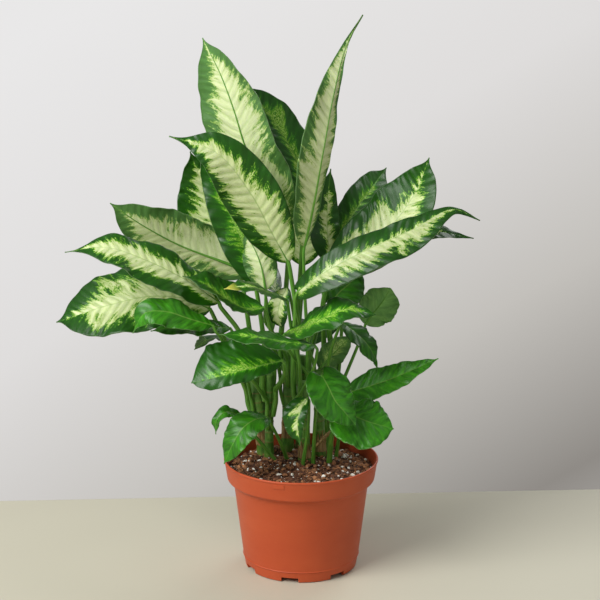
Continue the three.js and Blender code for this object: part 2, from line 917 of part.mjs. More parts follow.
// A thin shell between an upper and a lower grid, both split along the same diagonals.
function shellOf(rings) {
  const across = rings[0].upper.length;
  const positions = [];
  for (const { upper, lower } of rings) {
    for (const point of [...upper, ...lower]) {
      positions.push(...point.toArray());
    }
  }
  const at = (i, j, low) => i * 2 * across + (low ? across : 0) + j;
  const faces = [];
  const last = rings.length - 1;
  for (let i = 0; i < last; i++) {
    for (let j = 0; j + 1 < across; j++) {
      const corners = [
        [i, j],
        [i + 1, j],
        [i + 1, j + 1],
        [i, j + 1],
      ];
      const [a, b, c, d] = corners.map(([row, column]) => at(row, column, false));
      faces.push(a, c, b, a, d, c);
      const [e, f, g, h] = corners.map(([row, column]) => at(row, column, true));
      faces.push(e, f, g, e, g, h);
    }
    faces.push(at(i, 0, false), at(i + 1, 0, false), at(i + 1, 0, true));
    faces.push(at(i, 0, false), at(i + 1, 0, true), at(i, 0, true));
    const edge = across - 1;
    faces.push(at(i, edge, false), at(i + 1, edge, true), at(i + 1, edge, false));
    faces.push(at(i, edge, false), at(i, edge, true), at(i + 1, edge, true));
  }
  for (let j = 0; j + 1 < across; j++) {
    faces.push(at(0, j, false), at(0, j, true), at(0, j + 1, true));
    faces.push(at(0, j, false), at(0, j + 1, true), at(0, j + 1, false));
    faces.push(at(last, j, false), at(last, j + 1, true), at(last, j, true));
    faces.push(at(last, j, false), at(last, j + 1, false), at(last, j + 1, true));
  }
  const geometry = new THREE.BufferGeometry();
  geometry.setAttribute("position", new THREE.Float32BufferAttribute(positions, 3));
  geometry.setIndex(faces);
  return geometry;
}

// ---- the stalks ----

const STALK_POINTS = 24;
const ROOTED = 4; // points at the foot that stay where they are
const JOINED = 2; // and at the blade

// The first run of a stalk: up beside its cane or out of the mix, then over to the blade's base.
function firstRun(leaf) {
  const { point, along } = frameAt(leaf, 0);
  const before = along.clone().multiplyScalar(0.5).add(new THREE.Vector3(0, 0, 0.8));
  before.normalize().multiplyScalar(-16).add(point);
  const start = [];
  if (leaf.soil) {
    const [x, y] = leaf.soil;
    const ground = soilHeight(x, y);
    start.push(new THREE.Vector3(x, y, ground - STALK_HOLE_DEPTH + 1));
    start.push(new THREE.Vector3(x, y, ground + 4));
  } else {
    const cane = CANES[leaf.cane];
    const out = caneRadius(cane, 0.6) + stalkRadius(leaf, 0) + 0.7;
    const turn = radians(leaf.turn);
    const beside = new THREE.Vector3(Math.cos(turn), Math.sin(turn), 0);
    start.push(caneAt(cane, leaf.height).addScaledVector(beside, out));
    start.push(caneAt(cane, leaf.height + 16).addScaledVector(beside, out + 0.6));
  }
  const curve = new THREE.CatmullRomCurve3([...start, before, point]);
  return curve.getSpacedPoints(STALK_POINTS - 1);
}

// Stalks lean out of each other's way and round the blades and canes, as growing ones do.
function bendClear(leaves) {
  const runs = leaves.map(firstRun);
  const blades = leaves.map((leaf) => {
    const points = [];
    for (let i = 1; i < 12; i++) {
      const frame = frameAt(leaf, i / 12);
      for (let j = -2; j <= 2; j++) {
        points.push(bladePoint(leaf, frame, i / 12, j / 2).point);
      }
    }
    return points;
  });
  const canes = Object.values(CANES).flatMap((cane) => {
    const points = [];
    for (let height = SOIL_EDGE; height <= cane.top[2]; height += 5) {
      points.push({ point: caneAt(cane, height), radius: caneRadius(cane, 0.4) + 0.35 });
    }
    return points;
  });
  for (let round = 0; round < SETTLING_ROUNDS; round++) {
    const pushes = runs.map((run) => run.map(() => new THREE.Vector3()));
    const push = (index, i, from, need) => {
      const apart = runs[index][i].clone().sub(from);
      const distance = apart.length();
      if (distance < need && distance > 1e-6) {
        pushes[index][i].addScaledVector(apart, (0.5 * (need - distance)) / distance);
      }
    };
    runs.forEach((run, index) => {
      for (let i = ROOTED; i < STALK_POINTS - JOINED; i++) {
        const own = stalkRadius(leaves[index], i / STALK_POINTS);
        runs.forEach((other, which) => {
          if (which === index) return;
          const theirs = stalkRadius(leaves[which], 0.5);
          other.forEach((from) => push(index, i, from, own + theirs + STALK_CLEARANCE));
          blades[which].forEach((from) => push(index, i, from, own + BLADE_CLEARANCE));
        });
        canes.forEach(({ point, radius }) => push(index, i, point, own + radius + 1));
      }
    });
    runs.forEach((run, index) => {
      for (let i = ROOTED; i < STALK_POINTS - JOINED; i++) {
        const amount = Math.min(pushes[index][i].length(), 1.5);
        run[i].add(pushes[index][i].setLength(amount));
      }
      const before = run.map((point) => point.clone());
      for (let i = ROOTED; i < STALK_POINTS - JOINED; i++) {
        const middle = before[i - 1].clone().add(before[i + 1]).multiplyScalar(0.5);
        run[i].lerp(middle, 0.45);
      }
    });
  }
  return runs;
}

// The stalk and the midrib's keel under the blade, as one tapering tube.
function stalkGeometry(leaf, run) {
  const stalk = new THREE.CatmullRomCurve3(run).getSpacedPoints(STALK_SPANS);
  const scale = stalkScale(leaf);
  const middles = stalk.map((point, i) => ({ point, radius: stalkRadius(leaf, i / STALK_SPANS) }));
  for (let i = 1; i <= KEEL_SPANS; i++) {
    const along = i / KEEL_SPANS;
    const { point, up } = frameAt(leaf, KEEL * along);
    const radius = (STALK_TIP_RADIUS - KEEL_NARROWING * along) * scale;
    middles.push({ point: point.addScaledVector(up, -0.6 * radius), radius });
  }
  let across = new THREE.Vector3(1, 0, 0);
  const rings = middles.map(({ point, radius }, i) => {
    const before = middles[Math.max(i - 1, 0)].point;
    const after = middles[Math.min(i + 1, middles.length - 1)].point;
    const along = after.clone().sub(before).normalize();
    across = across.clone().addScaledVector(along, -across.dot(along)).normalize();
    const other = along.clone().cross(across);
    return Array.from({ length: STALK_SIDES }, (_, j) => {
      const angle = (2 * Math.PI * j) / STALK_SIDES;
      return point
        .clone()
        .addScaledVector(across, radius * Math.cos(angle))
        .addScaledVector(other, radius * Math.sin(angle));
    });
  });
  return loft(rings);
}

function makeLeaves() {
  const runs = bendClear(LEAVES);
  LEAVES.forEach((leaf, index) => {
    const blade = solidOf(bladeGeometry(leaf));
    const stalk = solidOf(stalkGeometry(leaf, runs[index]));
    place("leaf_" + leaf.name, blade.add(stalk), COLOURS.leaf);
  });
}

makePot();
makeSoil();
for (const [name, cane] of Object.entries(CANES)) {
  place("cane_" + name, solidOf(caneGeometry(cane, 0)), COLOURS.cane);
}
makeLeaves();

export default plant;
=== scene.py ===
"""A potted dieffenbachia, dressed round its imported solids: moulded pot, bark and peat mix, canes and leaves.

Lengths in the tables and fields are millimetres in the part's own frame, +Z up, and meshes are made in
metres.
"""

import json
import logging
import math
import random
from dataclasses import dataclass
from enum import Enum

import bpy
import numpy as np
from mathutils import Euler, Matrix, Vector, noise

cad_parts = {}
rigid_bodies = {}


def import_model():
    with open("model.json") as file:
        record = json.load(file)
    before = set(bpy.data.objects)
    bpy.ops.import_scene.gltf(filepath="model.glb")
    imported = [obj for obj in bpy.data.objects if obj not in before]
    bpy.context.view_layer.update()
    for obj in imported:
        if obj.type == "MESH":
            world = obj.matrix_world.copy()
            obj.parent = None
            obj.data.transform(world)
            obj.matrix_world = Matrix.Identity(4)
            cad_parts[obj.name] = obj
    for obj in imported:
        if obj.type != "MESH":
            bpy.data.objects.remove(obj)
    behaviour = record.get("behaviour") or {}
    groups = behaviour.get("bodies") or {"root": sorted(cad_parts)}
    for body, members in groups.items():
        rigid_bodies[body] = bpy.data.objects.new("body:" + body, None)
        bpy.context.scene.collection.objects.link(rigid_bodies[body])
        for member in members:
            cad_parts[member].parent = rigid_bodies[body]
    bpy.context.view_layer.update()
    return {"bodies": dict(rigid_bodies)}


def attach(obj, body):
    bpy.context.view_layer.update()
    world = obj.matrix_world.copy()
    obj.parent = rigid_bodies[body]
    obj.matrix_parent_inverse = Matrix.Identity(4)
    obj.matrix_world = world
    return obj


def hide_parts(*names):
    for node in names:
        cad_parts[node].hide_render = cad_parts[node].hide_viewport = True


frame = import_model()
LOG = logging.getLogger("plant")

MM = 0.001
# Nothing on the plant moves, so it has one body.
(BODY,) = frame["bodies"]

SOIL_EDGE = 98.5
SOIL_DOME = 6.5
SOIL_LUMPS = 1.1
BODY_TOP_RADIUS = 66.7
# Side veins stand this far apart along the midrib and run forward by this share of their way out.
VEIN_SPACING = 9.0
VEIN_SWEEP = 0.75

Array = np.ndarray
Pair = tuple[float, float]
Point = tuple[float, float, float]


class Pattern(Enum):
    """How a blade is marked: by how much its heart is broken into green islands."""

    BOLD = 0.12
    STREAKED = 0.85
    PLAIN = 0.5


@dataclass(frozen=True)
class Leaf:
    """One grown leaf. The values are those of the part's own solid.

    midrib runs from the blade's base to its tip. face is the way the upper face looks, at even steps along
    it. widest is where the blade is broadest, skew the share of its width left of the midrib, and lean how
    much nearer the tip the right half is broadest. blunt, point and drip shape the base, the outer part and
    the narrow tip, and lobe is how far the base reaches back. fold and curl are degrees for the left and
    right halves, and wave is the height of the margins' waves. cream is the pale share of each half, tone
    how bright its colours are, partly the leaf's own colour and partly painted light and shade, lower on
    leaves that stand in shadow and higher on brightly lit ones, and yellow_tip how yellow its tip is. grown
    is (cane, height, turn) for a leaf on a cane, or (x, y) for one that stands in the mix.
    """

    name: str
    midrib: tuple[Point, ...]
    face: tuple[Point, ...]
    width: float
    grown: tuple[str, float, float] | Pair
    widest: float = 0.42
    skew: float = 0.5
    lean: float = 0.0
    blunt: float = 0.62
    point: float = 2.0
    drip: float = 0.12
    lobe: float = 0.0
    fold: Pair = (10, 10)
    curl: Pair = (-10, -10)
    wave: float = 2.0
    cream: Pair = (0, 0)
    # Partly painted light and shade: lower on leaves that stand in shadow, higher on brightly lit ones.
    tone: float = 1.0
    yellow_tip: float = 0.0
    pattern: Pattern = Pattern.BOLD


LEAVES = (
    Leaf(
        name="crown_left",
        midrib=(
            (-13, -2, 338), (-32, -9, 378), (-51, -11, 418), (-63, -8, 456), (-75, 0, 487),
            (-93, 14, 521),
        ),
        face=((0.3, 0.85, 0.3), (0.35, 0.85, 0.3)),
        width=70, grown=("middle", 205, 150), widest=0.5, skew=0.46, lean=0.14, point=2.4, drip=0.1,
        fold=(6, 10), curl=(-8, -12), cream=(0.72, 0.72),
    ),
    Leaf(
        name="crown_back",
        midrib=((2, 20, 340), (3, 28, 364), (-3, 38, 396), (-25, 47, 436), (-55, 42, 474)),
        face=((0.35, -0.8, 0.45),),
        width=46, grown=("back", 185, 230), widest=0.5, lean=0.08, fold=(24, 10), curl=(-10, -14), wave=1.5,
        cream=(0.42, 0.42), pattern=Pattern.STREAKED,
    ),
    Leaf(
        name="crown_upright",
        midrib=((3, -31, 329), (12, -43, 375), (21, -44, 426), (30, -31, 473), (42, -8, 515), (58, 8, 543)),
        face=((-0.6, 0.75, 0.2), (-0.6, 0.75, 0.15), (-0.6, 0.8, 0.1), (-0.3, 0.9, 0.1), (0.1, 0.9, 0)),
        width=36, grown=("front", 180, 60), widest=0.36, skew=0.3, point=1.7, drip=0.5, wave=1.5,
        cream=(0.74, 0.74),
    ),
    Leaf(
        name="arching_left",
        midrib=((-12, -17, 311), (-28, -28, 343), (-46, -38, 380), (-78, -47, 421), (-122, -44, 436)),
        face=((-0.3, -0.75, 0.6),),
        width=54, grown=("front", 175, 170), drip=0.22, fold=(12, 16), curl=(-22, -14), cream=(0.6, 0.6),
    ),
    Leaf(
        name="back_left_upper",
        midrib=((-62, 54, 291), (-82, 60, 317), (-93, 66, 344), (-99, 68, 373), (-109, 60, 406)),
        face=((-0.1, -0.9, 0.4),),
        width=52, grown=("left_thick", 180, 90), widest=0.45, skew=0.57, fold=(10, 12), cream=(0.4, 0.4),
    ),
    Leaf(
        name="back_left_lower",
        midrib=((-35, 4, 277), (-50, 8, 310), (-63, 12, 340), (-79, 22, 371), (-99, 32, 405)),
        face=((-0.2, -0.85, 0.45),),
        width=42, grown=("middle", 170, 200), fold=(14, 16), curl=(-14, -10), cream=(0.35, 0.35),
        pattern=Pattern.STREAKED,
    ),
    Leaf(
        name="centre_ribbed",
        midrib=((-34, -15, 283), (-38, -13, 306), (-45, -7, 323), (-55, 0, 337)),
        face=((-0.2, 0.85, 0.5),),
        width=32, grown=("middle", 190, 260), widest=0.45, fold=(8, 8), wave=1.5, cream=(0.78, 0.78),
    ),
    Leaf(
        name="side_left_upper",
        midrib=((-49, 38, 288), (-74, 36, 299), (-118, 28, 318), (-154, 12, 342), (-183, 2, 365)),
        face=((0.1, 0.95, 0.2),),
        width=64, grown=("left_thick", 165, 20), widest=0.48, fold=(14, 6), curl=(-10, -8), cream=(0.6, 0.6),
    ),
    Leaf(
        name="side_left_middle",
        midrib=((-78, -30, 275), (-108, -38, 298), (-142, -46, 318), (-182, -48, 332), (-221, -46, 327)),
        face=((-0.15, -0.55, 0.85), (-0.3, -0.5, 0.85)),
        width=50, grown=("left_thin", 180, 200), skew=0.54, drip=0.24, curl=(-14, -14), wave=2.5,
        cream=(0.56, 0.56),
    ),
    Leaf(
        name="side_left_lower",
        midrib=((-88, 2, 260), (-112, -1, 271), (-145, -7, 275), (-183, -12, 268), (-236, -14, 251)),
        face=((-0.15, -0.6, 0.8),),
        width=84, grown=("left_thick", 155, 180), widest=0.45, point=2.8, drip=0.1, fold=(8, 8),
        curl=(-12, -14), wave=2.5, cream=(0.52, 0.52), tone=0.9,
    ),
    Leaf(
        name="side_left_drooping",
        midrib=((-83, -52, 258), (-103, -60, 266), (-126, -66, 275), (-145, -68, 274), (-157, -66, 254)),
        face=((-0.1, -0.6, 0.8), (-0.5, -0.6, 0.5)),
        width=30, grown=("left_thin", 150, 250), widest=0.55, drip=0.2, fold=(4, 10), curl=(-20, -16),
        tone=1.3, pattern=Pattern.PLAIN,
    ),
    Leaf(
        name="back_left_dark",
        midrib=((-68, -20, 247), (-92, -32, 252), (-118, -44, 254), (-142, -50, 252)),
        face=((-0.1, -0.5, 0.85),),
        width=26, grown=("left_thick", 150, 230), widest=0.45, fold=(8, 8), wave=1.5, pattern=Pattern.PLAIN,
    ),
    Leaf(
        name="front_left_oval",
        midrib=((-18, -46, 222), (-36, -58, 221), (-61, -70, 218), (-82, -74, 213), (-103, -70, 207)),
        face=((-0.1, -0.75, 0.65),),
        width=48, grown=("left_thin", 165, 320), widest=0.55, skew=0.25, lean=0.05, blunt=0.5, point=4,
        drip=0.06, fold=(4, 8), curl=(-24, -20), wave=1.5, cream=(0.27, 0.27), tone=1.15,
        pattern=Pattern.STREAKED,
    ),
    Leaf(
        name="left_side_on",
        midrib=((-36, -16, 266), (-54, -24, 268), (-74, -32, 281), (-92, -38, 295), (-112, -40, 303)),
        face=((0.2, -0.45, 0.85),),
        width=48, grown=("left_thin", 185, 60), widest=0.4, drip=0.2, fold=(30, 14), curl=(-10, -18),
        wave=1.5, cream=(0.35, 0.35), pattern=Pattern.STREAKED,
    ),
    Leaf(
        name="front_yellow_tip",
        midrib=((-14, -46, 282), (-30, -60, 292), (-50, -72, 301), (-71, -80, 300)),
        face=((0.05, -0.15, 1),),
        width=34, grown=("front", 182, 250), widest=0.45, curl=(-20, -20), wave=1, cream=(0.1, 0.1), tone=1.1,
        yellow_tip=1,
    ),
    Leaf(
        name="front_flat",
        midrib=((13, -58, 240), (-14, -70, 247), (-46, -79, 255), (-76, -80, 257)),
        face=((0, -0.2, 1),),
        width=36, grown=("front", 160, 230), widest=0.45, point=2.4, fold=(6, 6), curl=(-16, -16), wave=1.5,
        cream=(0.2, 0.2), tone=1.35, pattern=Pattern.STREAKED,
    ),
    Leaf(
        name="centre_half_cream",
        midrib=((-14, 0, 282), (-20, -5, 269), (-22, -6, 257), (-18, -2, 242)),
        face=((-0.3, -0.85, 0.3),),
        width=22, grown=("middle", 180, 330), widest=0.5, fold=(14, 10), wave=1, cream=(0.6, 0.6),
    ),
    Leaf(
        name="right_middle",
        midrib=((-15, -36, 246), (2, -48, 255), (21, -56, 266), (42, -58, 275), (71, -52, 268)),
        face=((0.1, -0.45, 0.9),),
        width=40, grown=("right", 165, 290), curl=(-16, -16), cream=(0.4, 0.4), tone=1.2,
        pattern=Pattern.STREAKED,
    ),
    Leaf(
        name="right_drooping",
        midrib=((40, -8, 249), (51, -14, 242), (62, -17, 232), (70, -16, 219), (74, -12, 204)),
        face=((0.5, -0.5, 0.7), (0.75, -0.5, 0.2)),
        width=28, grown=("right", 170, 20), widest=0.38, drip=0.3, curl=(-18, -18), wave=1.5,
        pattern=Pattern.PLAIN,
    ),
    Leaf(
        name="right_back_dark",
        midrib=((28, 20, 259), (36, 24, 270), (48, 28, 280), (60, 30, 292)),
        face=((0.1, -0.85, 0.4),),
        width=42, grown=("back_right", 185, 60), widest=0.45, fold=(8, 8), wave=1.5, tone=0.85,
        pattern=Pattern.PLAIN,
    ),
    Leaf(
        name="right_round",
        midrib=((64, 40, 235), (71, 42, 245), (80, 44, 256), (89, 46, 271)),
        face=((-0.2, 0.95, 0.2),),
        width=42, grown=("back_right", 150, 0), widest=0.5, blunt=0.5, point=2.8, drip=0.02, fold=(6, 6),
        tone=1.25, pattern=Pattern.PLAIN,
    ),
    Leaf(
        name="low_right_pointed",
        midrib=((50, 4, 176), (69, -2, 184), (88, -6, 192), (109, -8, 202), (134, -6, 213)),
        face=((0, -0.6, 0.8),),
        width=36, grown=(35, 16), widest=0.3, blunt=0.4, point=1.6, lobe=5, fold=(12, 12), curl=(-14, -14),
        wave=1, tone=1.5, pattern=Pattern.PLAIN,
    ),
    Leaf(
        name="low_heart",
        midrib=((20, -50, 208), (26, -58, 199), (32, -64, 188), (42, -66, 176), (52, -66, 164)),
        face=((0.25, -0.75, 0.6),),
        width=44, grown=(12, -9), widest=0.34, blunt=0.35, drip=0.08, lobe=9, fold=(8, 8), curl=(-16, -16),
        wave=1, tone=1.2, pattern=Pattern.PLAIN,
    ),
    Leaf(
        name="low_right_broad",
        midrib=((39, -32, 170), (51, -40, 165), (67, -45, 160), (89, -46, 154)),
        face=((0.2, -0.6, 0.75),),
        width=60, grown=(28, -3), skew=0.45, blunt=0.5, point=2.6, drip=0.1, lobe=4, fold=(8, 8),
        curl=(-18, -18), wave=1.5, tone=1.4, pattern=Pattern.PLAIN,
    ),
    Leaf(
        name="low_centre",
        midrib=((6, -40, 183), (1, -48, 176), (-3, -54, 165), (-1, -54, 140)),
        face=((-0.25, -0.85, 0.4),),
        width=22, grown=(2, -12), widest=0.36, skew=0.3, drip=0.2, curl=(-14, -14), wave=1,
        cream=(0.18, 0.18),
    ),
    Leaf(
        name="low_left_pointed",
        midrib=((-32, -30, 160), (-44, -42, 162), (-55, -48, 156), (-64, -52, 143), (-74, -50, 120)),
        face=((-0.35, -0.65, 0.65),),
        width=34, grown=(-14, 6), blunt=0.5, drip=0.1, fold=(8, 8), curl=(-16, -16), wave=1, tone=1.3,
        pattern=Pattern.PLAIN,
    ),
    Leaf(
        name="low_left_curled",
        midrib=((-58, -6, 153), (-67, -14, 160), (-75, -20, 162), (-82, -22, 154), (-83, -20, 140)),
        face=((-0.2, -0.6, 0.75), (-0.7, -0.6, 0.2)),
        width=14, grown=(-26, 8), fold=(16, 16), curl=(-14, -14), wave=1.5, tone=1.2, pattern=Pattern.PLAIN,
    ),
    Leaf(
        name="crown_right_back",
        midrib=((30, 36, 298), (26, 42, 325), (26, 46, 355), (29, 46, 391)),
        face=((0.1, -0.9, 0.35),),
        width=30, grown=("back", 175, 310), widest=0.36, skew=0.6, fold=(12, 12), wave=1.5,
        cream=(0.36, 0.36), tone=0.85,
    ),
    Leaf(
        name="right_back_upper",
        midrib=((22, 54, 293), (38, 62, 320), (58, 68, 350), (85, 70, 388)),
        face=((-0.1, -0.8, 0.55),),
        width=36, grown=("back_right", 192, 100), widest=0.6, point=3, fold=(12, 12), wave=1.5,
        cream=(0.3, 0.3), tone=0.85, pattern=Pattern.STREAKED,
    ),
    Leaf(
        name="right_upper",
        midrib=((29, 10, 300), (56, 20, 315), (84, 25, 334), (101, 29, 354), (114, 30, 376), (124, 28, 405)),
        face=((-0.25, -0.75, 0.6),),
        width=70, grown=("back_right", 190, 150), widest=0.5, blunt=0.55, fold=(12, 12), curl=(-12, -12),
        cream=(0.36, 0.36),
    ),
    Leaf(
        name="right_long",
        midrib=(
            (-3, -40, 288), (17, -48, 305), (60, -48, 329), (105, -41, 348), (142, -32, 365),
            (169, -26, 353),
        ),
        face=((-0.1, -0.7, 0.7),),
        width=42, grown=("right", 185, 120), widest=0.4, skew=0.42, lean=0.08, blunt=0.36, point=1.8,
        drip=0.36, lobe=4, fold=(6, 8), curl=(-12, -12), wave=1.5, cream=(0.16, 0.5), tone=0.8,
    ),
    Leaf(
        name="right_back_tip",
        midrib=((48, 46, 280), (85, 54, 306), (124, 58, 325), (172, 56, 319)),
        face=((-0.1, -0.45, 0.9),),
        width=34, grown=("back_right", 180, 20), drip=0.25, curl=(-12, -12), wave=1.5, cream=(0.2, 0.2),
    ),
    Leaf(
        name="right_back_low",
        midrib=((18, 27, 193), (27, 28, 203), (37, 29, 213), (50, 30, 226)),
        face=((-0.3, 0.95, 0.1),),
        width=28, grown=("back_right", 140, 240), widest=0.45, fold=(8, 8), curl=(-8, -8), wave=1,
        cream=(0.45, 0.45), pattern=Pattern.STREAKED,
    ),
    Leaf(
        name="far_left",
        midrib=((-24, 62, 262), (-52, 88, 296), (-78, 112, 304), (-104, 134, 288)),
        face=((-0.2, 0.3, 0.93),),
        width=60, grown=("left_thick", 183, 50), curl=(-14, -14), cream=(0.5, 0.5),
    ),
    Leaf(
        name="far_right",
        midrib=((26, 84, 262), (48, 108, 300), (66, 132, 316), (84, 158, 306)),
        face=((0.1, 0.3, 0.93),),
        width=60, grown=("back", 180, 20), curl=(-14, -14), tone=0.8, pattern=Pattern.PLAIN,
    ),
    Leaf(
        name="far_middle",
        midrib=((2, 84, 285), (2, 104, 335), (-4, 122, 376), (-8, 134, 412)),
        face=((0, -0.75, 0.65),),
        width=62, grown=("back", 192, 115), curl=(-12, -12), cream=(0.6, 0.6),
    ),
    Leaf(
        name="far_low",
        midrib=((8, 90, 200), (14, 116, 214), (20, 144, 210), (28, 168, 190)),
        face=((0.1, 0.3, 0.95),),
        width=52, grown=("back", 150, 65), fold=(8, 8), curl=(-16, -16), wave=1.5, cream=(0.2, 0.2),
        pattern=Pattern.STREAKED,
    ),
    Leaf(
        name="far_low_left",
        midrib=((-50, 72, 196), (-72, 92, 208), (-92, 108, 204), (-112, 122, 186)),
        face=((-0.2, 0.3, 0.95),),
        width=48, grown=("left_thick", 140, 120), fold=(8, 8), curl=(-16, -16), wave=1.5, cream=(0.2, 0.2),
        pattern=Pattern.STREAKED,
    ),
)


@dataclass(frozen=True)
class Cane:
    """One fleshy stem: where it leaves the mix, its top, and its radius."""

    name: str
    foot: Pair
    top: Point
    radius: float

    def middle(self, height: Array) -> Array:
        """Gives the middle of the leaning cane.

        Args:
            height: Heights over the table.

        Returns:
            A point for each.
        """
        height = np.asarray(height, float)
        share = (height - SOIL_EDGE) / (self.top[2] - SOIL_EDGE)
        x, y = (low + (high - low) * share for low, high in zip(self.foot, self.top))
        return np.stack([x, y, height], -1)

    def girth(self, share: Array) -> Array:
        """Gives the radius at a share of the height: swollen at the foot and tapering upward."""
        return self.radius * (1 + 0.28 * np.exp(-((share / 0.12) ** 2)) - 0.12 * share)


CANES = {
    cane.name: cane
    for cane in (
        Cane("left_thick", (-36, 36), (-46, 30, 185), 7),
        Cane("left_thin", (-32, 21), (-31, 12, 192), 4.5),
        Cane("middle", (-14, 42), (-12, 30, 212), 6),
        Cane("front", (4, 8), (2, -2, 188), 6),
        Cane("right", (19, 22), (17, 14, 195), 5.5),
        Cane("back_right", (26, 44), (31, 42, 200), 5.5),
        Cane("back", (1, 52), (0, 60, 198), 5.5),
    )
}


# ---- shared maths ----


def linear(colour: str) -> tuple[float, float, float, float]:
    """Turns an sRGB hex colour into Blender's linear RGBA.

    Args:
        colour: Six hex digits after a #.

    Returns:
        Red, green, blue and alpha, linear.
    """
    parts = [int(colour[i : i + 2], 16) / 255 for i in (1, 3, 5)]
    bent = [c / 12.92 if c <= 0.04045 else ((c + 0.055) / 1.055) ** 2.4 for c in parts]
    return (*bent, 1.0)


def per_mm(*sizes: float) -> tuple[float, ...]:
    """Gives the scale of a pattern on Object coordinates from its size in millimetres each way."""
    return tuple(1 / (size * MM) for size in sizes)


def unit(vectors: Array) -> Array:
    """Scales vectors, the last axis of an array, to length one."""
    return vectors / np.maximum(np.linalg.norm(vectors, axis=-1, keepdims=True), 1e-9)


def polar(radius: Array, turn: Array, height: Array) -> Array:
    """Gives points from their distance to the Z axis, turn in radians and height, one a row."""
    return np.stack(np.broadcast_arrays(radius * np.cos(turn), radius * np.sin(turn), height), -1)


def spaced(points: Array, count: int) -> Array:
    """Draws the centripetal Catmull-Rom curve through points.

    Args:
        points: The points that the curve passes, one a row.
        count: How many points to return.

    Returns:
        Points at even distances along the curve, both ends among them.
    """
    knots = np.vstack([2 * points[0] - points[1], points, 2 * points[-1] - points[-2]])
    rows = []
    steps = np.linspace(0, 1, 60, endpoint=False)[:, None]
    for a, b, c, d in zip(knots, knots[1:], knots[2:], knots[3:]):
        before, here, after = (max(float(np.dot(q, q)) ** 0.25, 1e-4) for q in (b - a, c - b, d - c))
        leave = ((b - a) / before - (c - a) / (before + here) + (c - b) / here) * here
        arrive = ((c - b) / here - (d - b) / (here + after) + (d - c) / after) * here
        square = 3 * (c - b) - 2 * leave - arrive
        cube = 2 * (b - c) + leave + arrive
        rows.append(b + leave * steps + square * steps**2 + cube * steps**3)
    fine = np.vstack([*rows, points[-1:]])
    run = np.concatenate([[0], np.cumsum(np.linalg.norm(np.diff(fine, axis=0), axis=1))])
    want = np.linspace(0, run[-1], count)
    return np.stack([np.interp(want, run, fine[:, i]) for i in range(3)], 1)


def at_shares(table: Array, shares: Array) -> Array:
    """Reads an evenly spaced table between its rows.

    Args:
        table: The rows.
        shares: Where to read, as shares of the table's length.

    Returns:
        A blended row for each share.
    """
    steps = np.linspace(0, 1, len(table))
    return np.stack([np.interp(shares, steps, column) for column in table.T], -1)


def soil_height(x: Array, y: Array) -> Array:
    """Gives the height of the mix's domed top. Its lumps are two crossed, bent waves 20 to 25 mm long.

    Args:
        x: Places along X.
        y: Places along Y.

    Returns:
        The heights.
    """
    reach = np.minimum(1, np.hypot(x, y) / (BODY_TOP_RADIUS + 3))
    lumps = np.sin(x * 0.31 + 1.3 * np.sin(y * 0.17)) * np.cos(y * 0.27 - 0.9 * np.sin(x * 0.13))
    return SOIL_EDGE + SOIL_DOME * (1 - reach**2) + SOIL_LUMPS * lumps * (1 - reach**6)


# ---- shared mesh tools ----


def select_only(*pieces: bpy.types.Object) -> None:
    """Deselects everything, then selects these pieces and makes the first of them active.

    Args:
        *pieces: The pieces, or none.
    """
    bpy.ops.object.select_all(action="DESELECT")
    for piece in pieces:
        piece.select_set(True)
        bpy.context.view_layer.objects.active = pieces[0]


def places(piece: bpy.types.Object) -> Array:
    """Reads a mesh's vertex places, one a row."""
    flat = np.zeros(3 * len(piece.data.vertices))
    piece.data.vertices.foreach_get("co", flat)
    return flat.reshape(-1, 3)


def fresh_grid(name: str, along: int, across: int) -> tuple[bpy.types.Object, Array, Array]:
    """Adds a flat grid, ready to be shaped.

    Args:
        name: The piece's name.
        along: Squares along it.
        across: Squares across it.

    Returns:
        The grid, and each vertex's share of its length and place across it, from -1 to 1.
    """
    select_only()
    bpy.ops.mesh.primitive_grid_add(x_subdivisions=along, y_subdivisions=across, size=2)
    piece = bpy.context.object
    piece.name = name
    piece.data.name = name
    flat = places(piece)
    return piece, (flat[:, 0] + 1) / 2, flat[:, 1]


def shape(piece: bpy.types.Object, points: Array) -> None:
    """Moves a mesh's vertices to points in millimetres."""
    piece.data.vertices.foreach_set("co", (points * MM).astype(np.float32).ravel())
    piece.data.update()


def note(piece: bpy.types.Object, name: str, *values: Array) -> None:
    """Writes a vector at each vertex, which a material reads by name.

    Args:
        piece: The piece.
        name: The attribute's name.
        *values: Its three parts, each one number or one a vertex.
    """
    layer = piece.data.attributes.new(name, "FLOAT_VECTOR", "POINT")
    columns = [np.broadcast_to(part, len(piece.data.vertices)) for part in values]
    layer.data.foreach_set("vector", np.stack(columns, 1).astype(np.float32).ravel())


def close_up(piece: bpy.types.Object) -> None:
    """Merges a wrapped grid's seam and poles, and turns its faces outward.

    Args:
        piece: The grid.
    """
    select_only(piece)
    bpy.ops.object.mode_set(mode="EDIT")
    bpy.ops.mesh.select_all(action="SELECT")
    bpy.ops.mesh.remove_doubles(threshold=2e-6)
    bpy.ops.mesh.normals_make_consistent(inside=False)
    bpy.ops.object.mode_set(mode="OBJECT")
    piece.data.shade_smooth()


def join(*pieces: bpy.types.Object) -> bpy.types.Object:
    """Joins meshes into the first of them.

    Args:
        *pieces: The meshes.

    Returns:
        The first.
    """
    select_only(*pieces)
    bpy.ops.object.join()
    return pieces[0]


def apply_modifier(piece: bpy.types.Object, kind: str, **settings: object) -> None:
    """Adds a modifier with its settings and applies it.

    Args:
        piece: The piece.
        kind: The modifier's type.
        **settings: Its properties.
    """
    select_only(piece)
    modifier = piece.modifiers.new(kind.lower(), kind)
    for key, value in settings.items():
        setattr(modifier, key, value)
    bpy.ops.object.modifier_apply(modifier=modifier.name)


